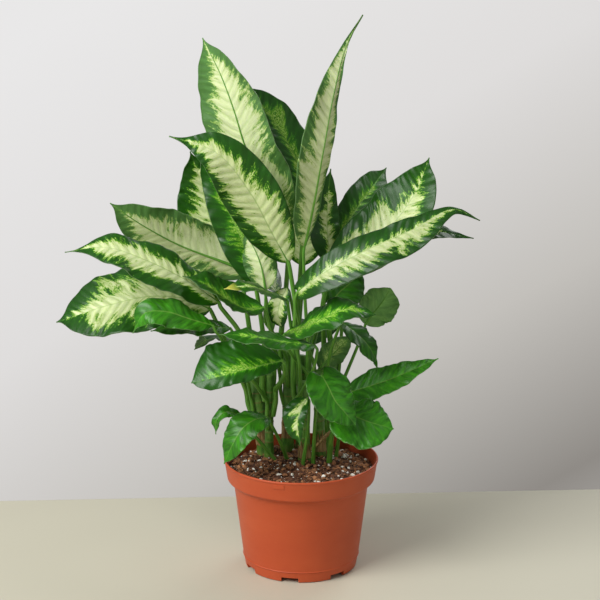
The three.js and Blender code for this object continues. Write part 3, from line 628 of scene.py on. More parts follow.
def tube(name: str, middles: Array, radii: Array, sides: int) -> tuple[bpy.types.Object, Array, Array]:
    """Makes a round tube along points, closed to a pole at each end.

    Args:
        name: The piece's name.
        middles: The middle of each ring.
        radii: Its radius.
        sides: Faces round the tube.

    Returns:
        The piece, and the share along and the turn at each vertex before the seam is merged.
    """
    rings = len(middles) - 1
    piece, share, across = fresh_grid(name, rings, sides)
    turn = np.pi * across
    directions = unit(np.gradient(middles, axis=0))
    first = np.zeros_like(middles)
    start = np.array([1.0, 0, 0])
    for i, direction in enumerate(directions):
        start = unit(start - start.dot(direction) * direction)
        first[i] = start
    second = np.cross(first, directions)
    row = np.rint(share * rings).astype(int)
    radius = np.concatenate([[0], radii[1:-1], [0]])
    spoke = np.cos(turn)[:, None] * first[row] + np.sin(turn)[:, None] * second[row]
    shape(piece, middles[row] + radius[row][:, None] * spoke)
    return piece, share, turn


def dress(piece: bpy.types.Object, slot: str, *nodes: str) -> None:
    """Ties a piece to the part.

    Args:
        piece: The piece.
        slot: Its material slot in the record. It is not used.
        *nodes: The solids that it stands for.
    """
    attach(piece, BODY)
    if nodes:
        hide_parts(*nodes)
    LOG.info("%s: %d faces", piece.name, len(piece.data.polygons))


# ---- finishes ----


def add(
    tree: bpy.types.NodeTree,
    kind: str,
    inputs: dict | None = None,
    stops: tuple[tuple[float, str], ...] = (),
    **settings: object,
) -> bpy.types.Node:
    """Adds a node with its settings, values and links.

    Args:
        tree: The material's node tree.
        kind: The node's type, without the ShaderNode before it.
        inputs: By input name or number, a value, an sRGB hex colour, a socket, or a node, whose first
            output in use is linked.
        stops: For a ramp, the position and sRGB hex colour of each stop, in order.
        **settings: The node's own properties.

    Returns:
        The node.
    """
    made = tree.nodes.new("ShaderNode" + kind)
    for key, value in settings.items():
        setattr(made, key, value)
    for key, value in (inputs or {}).items():
        if isinstance(value, bpy.types.Node):
            value = next(output for output in value.outputs if output.enabled)
        if isinstance(value, bpy.types.NodeSocket):
            tree.links.new(value, made.inputs[key])
        else:
            made.inputs[key].default_value = linear(value) if isinstance(value, str) else value
    for index, (position, colour) in enumerate(stops):
        if index >= len(made.color_ramp.elements):
            made.color_ramp.elements.new(position)
        made.color_ramp.elements[index].position = position
        made.color_ramp.elements[index].color = linear(colour)
    return made


@dataclass(frozen=True)
class Finish:
    """A material of the plant, the pot or the table. Pattern sizes are millimetres."""

    name: str

    def surface(self, tree: bpy.types.NodeTree) -> dict:
        """Adds the finish's own nodes, and returns the shader's inputs. Each finish has its own."""
        raise NotImplementedError

    def material(self) -> bpy.types.Material:
        """Builds the material: the finish's nodes, its Principled shader and the output.

        Returns:
            The material.
        """
        made = bpy.data.materials.new(self.name)
        made.use_nodes = True
        made.node_tree.nodes.clear()
        shader = add(made.node_tree, "BsdfPrincipled", self.surface(made.node_tree))
        add(made.node_tree, "OutputMaterial", {"Surface": shader})
        return made


@dataclass(frozen=True)
class LeafSkin(Finish):
    """Dieffenbachia blade: waxy dark green with a pale heart, feathered along the side veins.

    The wax gives a soft gloss, and a little light passes into the flesh. drift is how long the border's
    slow drift is, and bend the span in which it moves the flames. flame gives their width and length, out
    along the side veins, and speck those of the islands that break the border. sums is how much flame,
    speck and drift count.
    """

    deep: str
    green: str
    bright: str
    cream: str
    pale: str
    roughness: float
    rib: float
    drift: float = 30.0
    bend: float = 20.0
    flame: Pair = (5.0, 15.0)
    speck: Pair = (1.0, 1.4)
    sums: Point = (1.8, 0.9, 1.5)

    def heart(self, tree: bpy.types.NodeTree, fields: list, place: bpy.types.Node) -> list[bpy.types.Node]:
        """Adds the pale heart.

        Args:
            tree: The material's node tree.
            fields: The blade's share, reach, cream and mottle.
            place: The place along the side veins.

        Returns:
            The heart's strength, and the drift, flame and speck that shape it.
        """
        share, reach, cream, mottle = fields
        slow = {0: place, 1: (1 / self.drift, 1 / self.drift, 5.3)}
        slow = add(tree, "VectorMath", slow, operation="MULTIPLY")
        drift = add(tree, "TexNoise", {"Vector": slow, "Scale": 1.0, "Detail": 2.0})
        bent = {0: drift.outputs["Color"], 1: (self.bend, self.bend, 0.0), 2: place}
        bent = add(tree, "VectorMath", bent, operation="MULTIPLY_ADD")
        noises = []
        kinds = ((self.flame, 2.2, 5.0, 0.66), (self.speck, 3.1, 3.0, 0.6))
        for (wide, long), apart, detail, rough in kinds:
            spot = add(tree, "VectorMath", {0: bent, 1: (1 / wide, 1 / long, apart)}, operation="MULTIPLY")
            spot = {"Vector": spot, "Scale": 1.0, "Detail": detail, "Roughness": rough}
            noises.append(add(tree, "TexNoise", spot))
        flame, speck = noises
        # The heart is as wide as the leaf's own value says and closes before the tip.
        close = {0: share, 1: 0.72, 2: 1.0, 4: 0.75}
        close = add(tree, "MapRange", close, interpolation_type="SMOOTHSTEP")
        edge = add(tree, "Math", {0: cream, 1: close}, operation="SUBTRACT")
        level = add(tree, "Math", {0: edge, 1: reach}, operation="SUBTRACT")
        for source, amount in zip((flame, speck, drift), self.sums):
            level = add(tree, "Math", {0: source, 1: amount, 2: level}, operation="MULTIPLY_ADD")
        heart = add(tree, "MapRange", {0: level, 1: 2.0, 2: 2.3})
        # Streaky leaves keep green islands all through their heart, and it is duller.
        island = add(tree, "MapRange", {0: speck, 1: 0.62, 2: 0.42})
        broken = add(tree, "Math", {0: heart, 1: island}, operation="MULTIPLY")
        heart = add(tree, "Mix", {0: mottle, 2: heart, 3: broken})
        # A leaf with no heart is mottled from dark to mid green.
        plain = add(tree, "MapRange", {0: flame, 1: 0.35, 2: 0.7, 4: 0.3})
        marked = add(tree, "Math", {0: cream, 1: 0.02}, operation="GREATER_THAN")
        heart = add(tree, "Mix", {0: marked, 2: plain, 3: heart})
        duller = add(tree, "Math", {0: mottle, 1: -0.5, 2: 1.0}, operation="MULTIPLY_ADD")
        heart = add(tree, "Math", {0: heart, 1: duller}, operation="MULTIPLY")
        return [heart, drift, flame, speck]

    def surface(self, tree: bpy.types.NodeTree) -> dict:
        """Adds the blade's nodes, whose pattern follows the blade's own length and width.

        Args:
            tree: The material's node tree.

        Returns:
            The shader's inputs.
        """
        fields = []
        for name in ("blade", "mark", "tint_and_shade"):
            spot = add(tree, "Attribute", attribute_name=name).outputs["Vector"]
            fields += add(tree, "SeparateXYZ", {0: spot}).outputs
        along, across, seed, share, reach, cream, mottle, tone, tip = fields
        # Side veins leave the midrib and sweep forward: this value is even along each of them.
        wide = add(tree, "Math", {0: across}, operation="ABSOLUTE")
        swept = add(tree, "Math", {0: wide, 1: -VEIN_SWEEP, 2: along}, operation="MULTIPLY_ADD")
        # The two halves of a blade aren't marked alike.
        half = add(tree, "Math", {0: across, 1: 0.0}, operation="GREATER_THAN")
        own = add(tree, "Math", {0: half, 1: 7.3, 2: seed}, operation="MULTIPLY_ADD")
        place = add(tree, "CombineXYZ", {0: swept, 1: wide, 2: own})
        heart, drift, flame, speck = self.heart(tree, [share, reach, cream, mottle], place)
        shades = (self.deep, self.green, self.bright, self.cream, self.pale)
        shades = tuple(zip((0.0, 0.22, 0.42, 0.7, 1.0), shades))
        colour = add(tree, "ValToRGB", {"Fac": heart}, shades)
        # A side vein is greener where it crosses the pale heart, and the blade swells between two of them.
        wave = add(tree, "Math", {0: swept, 1: 2 * math.pi / VEIN_SPACING}, operation="MULTIPLY")
        wave = add(tree, "Math", {0: drift, 1: 9.0, 2: wave}, operation="MULTIPLY_ADD")
        ribs = add(tree, "Math", {0: wave}, operation="SINE")
        vein = add(tree, "MapRange", {0: ribs, 1: -0.3, 2: -1.0, 4: 0.6})
        for source in (speck, heart):
            vein = add(tree, "Math", {0: vein, 1: source}, operation="MULTIPLY")
        colour = add(tree, "Mix", {0: vein, 6: colour, 7: self.bright}, data_type="RGBA")
        # Ribs and flames are a little lighter, and the margin is darker.
        # Each leaf's starting brightness is partly painted light and shade.
        light = add(tree, "Math", {0: tone, 1: 0.3}, operation="SUBTRACT")
        for source, amount in ((ribs, 0.05), (flame, 0.9), (reach, -0.3)):
            light = add(tree, "Math", {0: source, 1: amount, 2: light}, operation="MULTIPLY_ADD")
        colour = add(tree, "HueSaturation", {"Value": light, "Color": colour})
        # A yellowed tip, where the leaf has one.
        old = add(tree, "MapRange", {0: share, 1: 0.8, 2: 0.93})
        old = add(tree, "Math", {0: old, 1: tip}, operation="MULTIPLY")
        # The midrib is a fine line about 1.2 mm wide that fades out. The very edge has a painted highlight.
        line = add(tree, "MapRange", {0: wide, 1: 0.35, 2: 0.9, 3: 1.0, 4: 0.0})
        fade = add(tree, "MapRange", {0: share, 1: 0.4, 2: 1.0, 3: 0.5, 4: 0.05})
        line = add(tree, "Math", {0: line, 1: fade}, operation="MULTIPLY")
        # A thin pale line round the margin: painted highlight where the edge catches light.
        edge_highlight = add(tree, "MapRange", {0: reach, 1: 0.982, 2: 0.998, 4: 0.2})
        for mask, shade in ((old, "#c9c552"), (line, "#7fa64c"), (edge_highlight, "#a9c58e")):
            colour = add(tree, "Mix", {0: mask, 6: colour, 7: shade}, data_type="RGBA")
        lift = add(tree, "Math", {0: speck, 1: 0.3, 2: ribs}, operation="MULTIPLY_ADD")
        wax = {0: speck, 3: self.roughness - 0.06, 4: self.roughness + 0.08}
        return {
            "Base Color": colour,
            "Roughness": add(tree, "MapRange", wax),
            "Normal": add(tree, "Bump", {"Height": lift, "Distance": self.rib * MM, "Strength": 1.0}),
            "IOR": 1.45,
            "Specular IOR Level": 0.36,
            "Subsurface Weight": 0.12,
            "Subsurface Radius": (1.0, 1.0, 0.3),
            "Subsurface Scale": 1.5 * MM,
        }


@dataclass(frozen=True)
class StalkSkin(Finish):
    """Leaf stalk and midrib: smooth watery green with a soft gloss and fine lengthwise streaks."""

    streak_length: float = 30.0
    streaks_round: float = 1.3

    def surface(self, tree: bpy.types.NodeTree) -> dict:
        """Adds the stalk's nodes.

        Args:
            tree: The material's node tree.

        Returns:
            The shader's inputs.
        """
        spot = add(tree, "Attribute", attribute_name="blade").outputs["Vector"]
        thin = {0: spot, 1: (1 / self.streak_length, self.streaks_round, 1.0)}
        thin = add(tree, "VectorMath", thin, operation="MULTIPLY")
        streak = add(tree, "TexNoise", {"Vector": thin, "Scale": 1.0, "Detail": 3.0, "Roughness": 0.6})
        shades = ((0.28, "#397020"), (0.5, "#578f30"), (0.72, "#7fae48"))
        return {
            "Base Color": add(tree, "ValToRGB", {"Fac": streak}, shades),
            "Roughness": add(tree, "MapRange", {0: streak, 3: 0.36, 4: 0.5}),
            "IOR": 1.42,
            "Specular IOR Level": 0.35,
        }


@dataclass(frozen=True)
class CaneSkin(Finish):
    """Cane of a young plant: green and smooth, ringed by dull tan scars where old leaves fell."""

    blotch: Point = (3.85, 3.85, 11.1)
    fibre: Point = (0.714, 0.714, 2.0)

    def surface(self, tree: bpy.types.NodeTree) -> dict:
        """Adds the cane's nodes: blotches, a browner foot, and rings with tan fibres.

        Args:
            tree: The material's node tree.

        Returns:
            The shader's inputs.
        """
        spot = add(tree, "Attribute", attribute_name="bark").outputs["Vector"]
        height, _, scar = add(tree, "SeparateXYZ", {0: spot}).outputs
        body = add(tree, "TexCoord").outputs["Object"]
        spread = add(tree, "VectorMath", {0: body, 1: per_mm(*self.blotch)}, operation="MULTIPLY")
        blotch = add(tree, "TexNoise", {"Vector": spread, "Scale": 1.0, "Detail": 4.0, "Roughness": 0.6})
        shades = ((0.3, "#35661f"), (0.5, "#55892f"), (0.7, "#78a048"))
        colour = add(tree, "ValToRGB", {"Fac": blotch}, shades)
        foot = add(tree, "MapRange", {0: height, 1: 0.12, 2: 0.0, 4: 0.8})
        fine = add(tree, "VectorMath", {0: body, 1: per_mm(*self.fibre)}, operation="MULTIPLY")
        fibre = add(tree, "TexNoise", {"Vector": fine, "Scale": 1.0, "Detail": 2.0})
        worn = add(tree, "Math", {0: fibre, 1: 0.9, 2: scar}, operation="MULTIPLY_ADD")
        worn = add(tree, "MapRange", {0: worn, 1: 0.95, 2: 1.35, 4: 0.7})
        for mask, shade in ((foot, "#6f6a36"), (worn, "#847a45")):
            colour = add(tree, "Mix", {0: mask, 6: colour, 7: shade}, data_type="RGBA")
        return {
            "Base Color": colour,
            "Roughness": add(tree, "MapRange", {0: worn, 3: 0.42, 4: 0.8}),
            "Normal": add(tree, "Bump", {"Height": fibre, "Distance": 0.25 * MM, "Strength": 0.6}),
        }


@dataclass(frozen=True)
class PotPlastic(Finish):
    """Injection-moulded polypropylene: terracotta colour, satin, with faint flow bands and handling scuffs.

    The flow bands run round the pot and a fine matt grain lies over them. Peat stains the wall above the
    mix.
    """

    band: Point = (71.0, 71.0, 29.4)
    scuff: Point = (9.1, 9.1, 2.38)
    grain: float = 0.667

    def surface(self, tree: bpy.types.NodeTree) -> dict:
        """Adds the pot's nodes.

        Args:
            tree: The material's node tree.

        Returns:
            The shader's inputs.
        """
        body = add(tree, "TexCoord").outputs["Object"]
        round_pot = add(tree, "VectorMath", {0: body, 1: per_mm(*self.band)}, operation="MULTIPLY")
        flow = add(tree, "TexNoise", {"Vector": round_pot, "Scale": 1.0, "Detail": 3.0, "Roughness": 0.55})
        shades = ((0.3, "#b44a26"), (0.5, "#b84e28"), (0.7, "#bd532c"))
        colour = add(tree, "ValToRGB", {"Fac": flow}, shades)
        grain = add(tree, "TexNoise", {"Vector": body, "Scale": per_mm(self.grain)[0], "Detail": 2.0})
        rubs = add(tree, "VectorMath", {0: body, 1: per_mm(*self.scuff)}, operation="MULTIPLY")
        scuff = add(tree, "TexNoise", {"Vector": rubs, "Scale": 1.0, "Detail": 5.0, "Roughness": 0.7})
        rubbed = add(tree, "MapRange", {0: scuff, 1: 0.62, 2: 0.8, 4: 0.35})
        spot = add(tree, "Attribute", attribute_name="stain").outputs["Vector"]
        stain = add(tree, "SeparateXYZ", {0: spot}).outputs[0]
        dirt = add(tree, "Math", {0: scuff, 1: stain}, operation="MULTIPLY")
        for mask, shade in ((rubbed, "#cb6f48"), (dirt, "#5a2c1a")):
            colour = add(tree, "Mix", {0: mask, 6: colour, 7: shade}, data_type="RGBA")
        return {
            "Base Color": colour,
            "Roughness": add(tree, "MapRange", {0: scuff, 3: 0.4, 4: 0.58}),
            "Normal": add(tree, "Bump", {"Height": grain, "Distance": 0.05 * MM, "Strength": 0.5}),
            "IOR": 1.49,
            "Specular IOR Level": 0.35,
        }


@dataclass(frozen=True)
class Crumb(Finish):
    """Loose stuff of the potting mix: rough grains, mottled at their own scale."""

    dark: str
    light: str
    mottle: float
    roughness: float = 0.9

    def surface(self, tree: bpy.types.NodeTree) -> dict:
        """Adds the grain's nodes.

        Args:
            tree: The material's node tree.

        Returns:
            The shader's inputs.
        """
        body = add(tree, "TexCoord").outputs["Object"]
        blotch = {"Vector": body, "Scale": per_mm(self.mottle)[0], "Detail": 5.0, "Roughness": 0.65}
        blotch = add(tree, "TexNoise", blotch)
        rough = {0: blotch, 3: self.roughness - 0.1, 4: self.roughness + 0.08}
        return {
            "Base Color": add(tree, "ValToRGB", {"Fac": blotch}, ((0.34, self.dark), (0.66, self.light))),
            "Roughness": add(tree, "MapRange", rough),
            "Normal": add(tree, "Bump", {"Height": blotch, "Distance": 0.5 * MM, "Strength": 0.7}),
        }


@dataclass(frozen=True)
class DrySkin(Finish):
    """Dead leaf sheath: papery, matt and tan, with dark lengthwise fibres."""

    fibre: Point = (1.0, 1.0, 16.7)

    def surface(self, tree: bpy.types.NodeTree) -> dict:
        """Adds the sheath's nodes.

        Args:
            tree: The material's node tree.

        Returns:
            The shader's inputs.
        """
        body = add(tree, "TexCoord").outputs["Object"]
        fine = add(tree, "VectorMath", {0: body, 1: per_mm(*self.fibre)}, operation="MULTIPLY")
        fibre = add(tree, "TexNoise", {"Vector": fine, "Scale": 1.0, "Detail": 4.0, "Roughness": 0.6})
        shades = ((0.3, "#5d4424"), (0.5, "#9a7d4c"), (0.72, "#c2ab7c"))
        return {
            "Base Color": add(tree, "ValToRGB", {"Fac": fibre}, shades),
            "Roughness": add(tree, "MapRange", {0: fibre, 3: 0.6, 4: 0.85}),
            "Normal": add(tree, "Bump", {"Height": fibre, "Distance": 0.3 * MM, "Strength": 0.8}),
        }


@dataclass(frozen=True)
class BoardPaint(Finish):
    """Matt emulsion on a table board, with faint clouds a third of a metre wide."""

    cloud: float = 333.0

    def surface(self, tree: bpy.types.NodeTree) -> dict:
        """Adds the paint's nodes.

        Args:
            tree: The material's node tree.

        Returns:
            The shader's inputs.
        """
        body = add(tree, "TexCoord").outputs["Object"]
        cloud = add(tree, "TexNoise", {"Vector": body, "Scale": per_mm(self.cloud)[0], "Detail": 2.0})
        shades = ((0.3, "#c2beaa"), (0.7, "#c6c2ae"))
        return {"Base Color": add(tree, "ValToRGB", {"Fac": cloud}, shades), "Roughness": 0.55}


# ---- the pot ----


@dataclass
class Pot:
    """The moulded nursery pot."""

    finish: PotPlastic
    # The wall: its lip turns from one angle to the other, in radians.
    height: float = 110.0
    rim_radius: float = 76.4
    lip: float = 1.1
    lip_turn: Pair = (-1.0, 3.6)
    band_height: float = 20.0
    band_radius: float = 73.0
    band_slope: float = 0.135
    body_top: float = 86.0
    foot_radius: float = 55.5
    foot_ring: float = 2.1
    body_foot_radius: float = 57.6
    wall: float = 2.0
    raised_base: float = 3.0
    flat_radius: float = 20.0
    moulding_line: float = 11.0
    sides: int = 168
    smooth_below: float = 38.0
    # The foot's notches and the drain holes, and how far their cutting tools reach.
    notches: int = 7
    notch_width: float = 17.0
    notch_height: float = 4.6
    notch_first: float = -101.5
    drain_holes: int = 6
    drain_radius: float = 5.0
    drain_at: float = 38.0
    cut: float = 12.0
    # A blank raised plate below the lip, which follows the band's slope.
    mark_turn: float = -106.5
    mark_half_turn: float = 4.2
    mark_drop: float = 5.4
    mark_half_height: float = 2.3
    mark_proud: float = 0.6
    mark_thickness: float = 0.9
    # Splashed peat on the band's inner face, strongest just above the mix. inner_face is how far inside the
    # band's radius that face starts and how much it widens upward.
    stain: float = 1.5
    stain_fade: float = 14.0
    stain_height: float = 12.0
    stain_from: float = 0.8
    inner_face: Pair = (1.2, 0.13)

    def profile(self) -> list[Pair]:
        """Gives the wall's outline from the middle of the base out, up and back down inside.

        Returns:
            A radius and a height for each ring.
        """
        top, band = self.height, self.height - self.band_height
        inner = BODY_TOP_RADIUS - self.wall
        ring = self.foot_radius - self.foot_ring
        floor = self.raised_base + self.wall
        turns = np.linspace(*self.lip_turn, 9)
        centre = (self.rim_radius - self.lip, top - self.lip)
        lip = [(centre[0] + self.lip * math.cos(a), centre[1] + self.lip * math.sin(a)) for a in turns]
        return [
            # The flat middle, the raised floor and the foot ring.
            (self.flat_radius, 0.0),
            (self.flat_radius + 0.6, 0.2),
            (self.flat_radius + self.raised_base, self.raised_base),
            (ring - 1.8, self.raised_base),
            (ring - 0.8, 0.5),
            (ring - 0.4, 0.1),
            (ring, 0.0),
            (self.foot_radius - 0.5, 0.0),
            (self.foot_radius, 0.4),
            # The moulding line stands proud as a fine bead, and the body runs straight up from it.
            (self.body_foot_radius - 0.25, self.moulding_line - 0.6),
            (self.body_foot_radius + 0.35, self.moulding_line - 0.3),
            (self.body_foot_radius + 0.5, self.moulding_line),
            (self.body_foot_radius, self.moulding_line + 0.5),
            (BODY_TOP_RADIUS - 0.2, self.body_top - 2.0),
            (BODY_TOP_RADIUS + 0.5, self.body_top),
            # The step out to the rim band, with a soft lower edge.
            (self.band_radius - 1.6, band - 0.9),
            (self.band_radius - 0.6, band - 0.4),
            (self.band_radius - 0.1, band + 0.4),
            (self.band_radius + 0.1, band + 1.4),
            (self.rim_radius - 1.0, top - 3.2 * self.lip),
            *lip,
            # Back down inside.
            (self.band_radius - self.wall + 0.2, band + 3.0),
            (self.band_radius - self.wall - 0.6, band + 1.2),
            (inner + 0.4, self.body_top + 1.0),
            (inner, self.body_top - 0.5),
            (self.foot_radius - 1.0, floor + 1.0),
            (self.foot_radius - 2.0, floor),
            (self.flat_radius + self.raised_base + 1.0, floor),
            (self.flat_radius + 1.0, self.wall),
        ]

    def shell(self) -> bpy.types.Object:
        """Turns the wall: a disc whose edge is extruded and scaled from ring to ring.

        Returns:
            The closed shell.
        """
        outline = self.profile()
        select_only()
        bpy.ops.mesh.primitive_circle_add(vertices=self.sides, radius=outline[0][0] * MM, fill_type="NGON")
        pot = bpy.context.object
        pot.name = "pot_shell"
        bpy.ops.object.mode_set(mode="EDIT")
        bpy.ops.mesh.select_mode(type="EDGE")
        bpy.ops.mesh.select_all(action="SELECT")
        bpy.ops.mesh.region_to_loop()
        for (before, low), (after, high) in zip(outline, outline[1:]):
            rise = (0, 0, (high - low) * MM)
            bpy.ops.mesh.extrude_edges_move(TRANSFORM_OT_translate={"value": rise})
            grow = after / before
            bpy.ops.transform.resize(value=(grow, grow, 1), center_override=(0, 0, high * MM))
        bpy.ops.mesh.edge_face_add()
        bpy.ops.mesh.select_all(action="SELECT")
        bpy.ops.mesh.normals_make_consistent(inside=False)
        bpy.ops.object.mode_set(mode="OBJECT")
        return pot

    def cutters(self) -> bpy.types.Object:
        """Makes the blocks and rods that cut the foot's notches and the drain holes.

        Returns:
            All of them as one mesh.
        """
        tools = []
        for i in range(self.notches):
            turn = math.radians(self.notch_first + 360 / self.notches * i)
            at = polar(self.foot_radius * MM, turn, 0)
            select_only()
            bpy.ops.mesh.primitive_cube_add(size=1, location=at, rotation=(0, 0, turn))
            bpy.context.object.scale = (self.cut * MM, self.notch_width * MM, 2 * self.notch_height * MM)
            tools.append(bpy.context.object)
        for i in range(self.drain_holes):
            at = polar(self.drain_at * MM, 2 * math.pi * i / self.drain_holes, self.raised_base * MM)
            size = {"radius": self.drain_radius * MM, "depth": self.cut * MM}
            select_only()
            bpy.ops.mesh.primitive_cylinder_add(vertices=32, location=at, **size)
            tools.append(bpy.context.object)
        made = join(*tools)
        bpy.ops.object.transform_apply(location=True, rotation=True, scale=True)
        return made

    def mark(self) -> bpy.types.Object:
        """Makes the blank plate, bent to the band.

        Returns:
            The plate.
        """
        piece, share, across = fresh_grid("pot_mark", 12, 6)
        turn = np.radians(self.mark_turn + self.mark_half_turn * (2 * share - 1))
        height = self.height - self.mark_drop + self.mark_half_height * across
        up = height - (self.height - self.band_height)
        shape(piece, polar(self.band_radius + 0.1 + up * self.band_slope + self.mark_proud, turn, height))
        apply_modifier(piece, "SOLIDIFY", thickness=self.mark_thickness * MM, offset=-1.0)
        apply_modifier(piece, "BEVEL", width=self.mark_thickness * MM / 5, segments=2)
        return piece

    def build(self) -> None:
        """Makes the pot and dresses it."""
        pot = self.shell()
        tools = self.cutters()
        apply_modifier(pot, "BOOLEAN", object=tools, operation="DIFFERENCE", solver="EXACT")
        bpy.data.objects.remove(tools)
        select_only(pot)
        bpy.ops.object.shade_smooth_by_angle(angle=math.radians(self.smooth_below))
        pot = join(pot, self.mark())
        x, y, z = (places(pot) / MM).T
        band = self.height - self.band_height
        inset, slope = self.inner_face
        inside = np.hypot(x, y) < self.band_radius - inset + np.clip(z - band, 0, self.band_height) * slope
        stain = self.stain - np.clip(z - SOIL_EDGE, 0, self.stain_height) / self.stain_fade
        stain = np.where(inside & (z > band + self.stain_from), stain, 0.0)
        note(pot, "stain", stain, stain, stain)
        pot.data.materials.clear()
        pot.data.materials.append(self.finish.material())
        dress(pot, "pot_plastic", "pot")


# ---- the mix ----


# Nearly black and damp.
PEAT = Crumb("Damp peat", "#180c06", "#74462c", 3.85)
# Reddish brown chips, drier and a little smoother.
BARK = Crumb("Composted bark", "#34190c", "#b57c50", 5.26, 0.85)
# Dark brown crumbs between the chips.
FINES = Crumb("Dark bark fines", "#1c0e07", "#875636", 3.85)
# Chalky white, finely pitted.
PERLITE = Crumb("Expanded perlite", "#cfc9b8", "#f4f1ea", 1.43)


@dataclass(frozen=True)
class Grains:
    """One kind of loose grain.

    size is the least and greatest length, flat the height over the length of the flattest grain, and sunk
    how deep a grain stands in the mix, over its height.
    """

    name: str
    count: int
    size: Pair
    flat: float
    sunk: float
    finish: Crumb


@dataclass
class PottingMix:
    """The peat and bark mix with its loose crumbs and grains.

    below is the outline of the body inside the pot, as radius and height. clods are the waves per millimetre
    and the height of its coarse and fine roughness, which fades out toward the edge.
    """

    edge_radius: float = 71.8
    edge_gap: float = 1.5
    below: tuple[Pair, ...] = ((0.0, 2.4), (20.5, 2.4), (23.7, 5.4), (53.4, 5.4), (64.2, 86.8), (70.5, 91.7))
    clods: tuple[Pair, ...] = ((0.16, 2.8), (0.62, 1.0))
    clod_fade: float = 4.0
    sunk: float = 0.3
    seed: int = 7
    rings: int = 84
    around: int = 240
    loose: tuple[Grains, ...] = (
        Grains("mix_bark", 1800, (1.2, 7.5), 0.2, 0.25, BARK),
        Grains("mix_fines", 5400, (0.6, 3.2), 0.25, 0.2, FINES),
        Grains("mix_perlite", 330, (0.9, 5.6), 0.45, 0.12, PERLITE),
    )

    def body(self) -> bpy.types.Object:
        """Makes the mix's body, a lumpy dome that fills the pot down to its base.

        Returns:
            The closed body.
        """
        steps = self.rings + len(self.below)
        piece, share, across = fresh_grid("mix_body", steps, self.around)
        row = np.rint(share * steps).astype(int)
        radii = np.array([r for r, _ in self.below] + list(np.linspace(self.edge_radius, 0, self.rings + 1)))
        points = polar(radii[row], np.pi * across, 0.0)
        x, y = points[:, 0], points[:, 1]
        rough = np.zeros(len(x))
        for i in np.flatnonzero(row >= len(self.below)):
            for waves, height in self.clods:
                rough[i] += height * noise.noise(Vector((x[i] * waves, y[i] * waves, 0.0)))
        fade = np.clip((self.edge_radius - radii[row]) / self.clod_fade, 0, 1)
        points[:, 2] = soil_height(x, y) + rough * fade - self.sunk
        for index, (_, height) in enumerate(self.below):
            points[row == index, 2] = height
        shape(piece, points)
        close_up(piece)
        return piece

    def scatter(self, kind: Grains, seed: int) -> bpy.types.Object:
        """Scatters angular grains over the mix's top as one mesh.

        Args:
            kind: The kind of grain.
            seed: Seed of the scatter.

        Returns:
            The grains.
        """
        chance = random.Random(seed)
        select_only()
        bpy.ops.mesh.primitive_ico_sphere_add(subdivisions=1, radius=0.5)
        model = bpy.context.object
        base = places(model)
        faces = np.array([list(face.vertices) for face in model.data.polygons])
        bpy.data.objects.remove(model)
        least, most = kind.size
        rows, cells = [], []
        for i in range(kind.count):
            reach = (self.edge_radius - self.edge_gap) * math.sqrt(chance.random())
            spot = polar(reach, chance.uniform(0, 2 * math.pi), 0.0)
            # Most grains are small. Each corner is knocked in or out, and a grain is longer than wide.
            long = least + (most - least) * chance.random() ** 2.6
            grain = base * np.array([chance.uniform(0.7, 1.3) for _ in range(len(base))])[:, None]
            grain = grain * (long, long * chance.uniform(0.45, 0.8), long * chance.uniform(kind.flat, 0.6))
            lean = Euler((chance.uniform(-0.6, 0.6), chance.uniform(-0.6, 0.6), chance.uniform(0, 6.3)))
            grain = grain @ np.array(lean.to_matrix()).T
            spot[2] = soil_height(spot[0], spot[1]) + np.ptp(grain[:, 2]) * (0.5 - kind.sunk) + 0.2
            rows.append(grain + spot)
            cells.append(faces + i * len(base))
        mesh = bpy.data.meshes.new(kind.name)
        mesh.from_pydata((np.vstack(rows) * MM).tolist(), [], np.vstack(cells).tolist())
        piece = bpy.data.objects.new(kind.name, mesh)
        bpy.context.scene.collection.objects.link(piece)
        return piece

    def build(self) -> None:
        """Makes the body, bark, fines and perlite, and dresses them."""
        body = self.body()
        body.data.materials.append(PEAT.material())
        dress(body, "potting_mix", "soil")
        for index, kind in enumerate(self.loose):
            piece = self.scatter(kind, self.seed + index)
            piece.data.materials.append(kind.finish.material())
            dress(piece, "potting_mix")


# ---- the canes ----


@dataclass
class CaneMaker:
    """Shapes canes with their leaf-scar rings.

    A ring is a swelling with a groove just above it, each given by its height and width, and scar is the
    width of its tan band. The rings are spread over ring_span of the cane's height, from ring_first up.
    From buried below the mix's edge down, the foot has foot_share of its radius, so that it stays inside
    the mix's hole.
    """

    skin: bpy.types.Material
    depth: float = 24.0
    buried: float = 4.0
    foot_share: float = 0.9
    rings: int = 6
    ring_first: float = 0.12
    ring_span: float = 0.8
    scar: float = 1.1
    swelling: Pair = (0.3, 0.9)
    groove: Pair = (0.2, 1.2)
    groove_above: float = 2.2
    steps: int = 150
    sides: int = 36

    def build(self, cane: Cane) -> None:
        """Makes one cane and dresses it.

        Args:
            cane: Its place and size.
        """
        low, high = SOIL_EDGE - self.depth, cane.top[2]
        between = np.linspace(low + 0.5, high - 0.6, self.steps)
        heights = np.concatenate([[low, low], between, [high - 0.2, high]])
        share = (heights - SOIL_EDGE) / (high - SOIL_EDGE)
        radii = cane.girth(np.maximum(share, 0))
        radii *= np.where(heights < SOIL_EDGE - self.buried, self.foot_share, 1.0)
        scars = np.zeros(len(heights))
        for i in range(1, self.rings + 1):
            at = self.ring_first + self.ring_span * i / (self.rings + 1)
            apart = heights - (SOIL_EDGE + at * (high - SOIL_EDGE))
            scars += np.exp(-((apart / self.scar) ** 2))
            radii += self.swelling[0] * np.exp(-((apart / self.swelling[1]) ** 2))
            radii -= self.groove[0] * np.exp(-(((apart - self.groove_above) / self.groove[1]) ** 2))
        # The top is rounded off.
        radii[-2] *= 0.75
        piece, along, turn = tube(f"cane_{cane.name}_skin", cane.middle(heights), radii, self.sides)
        row = np.rint(along * (len(heights) - 1)).astype(int)
        note(piece, "bark", share[row], turn, scars[row])
        close_up(piece)
        piece.data.materials.append(self.skin)
        dress(piece, "cane_skin", "cane_" + cane.name)


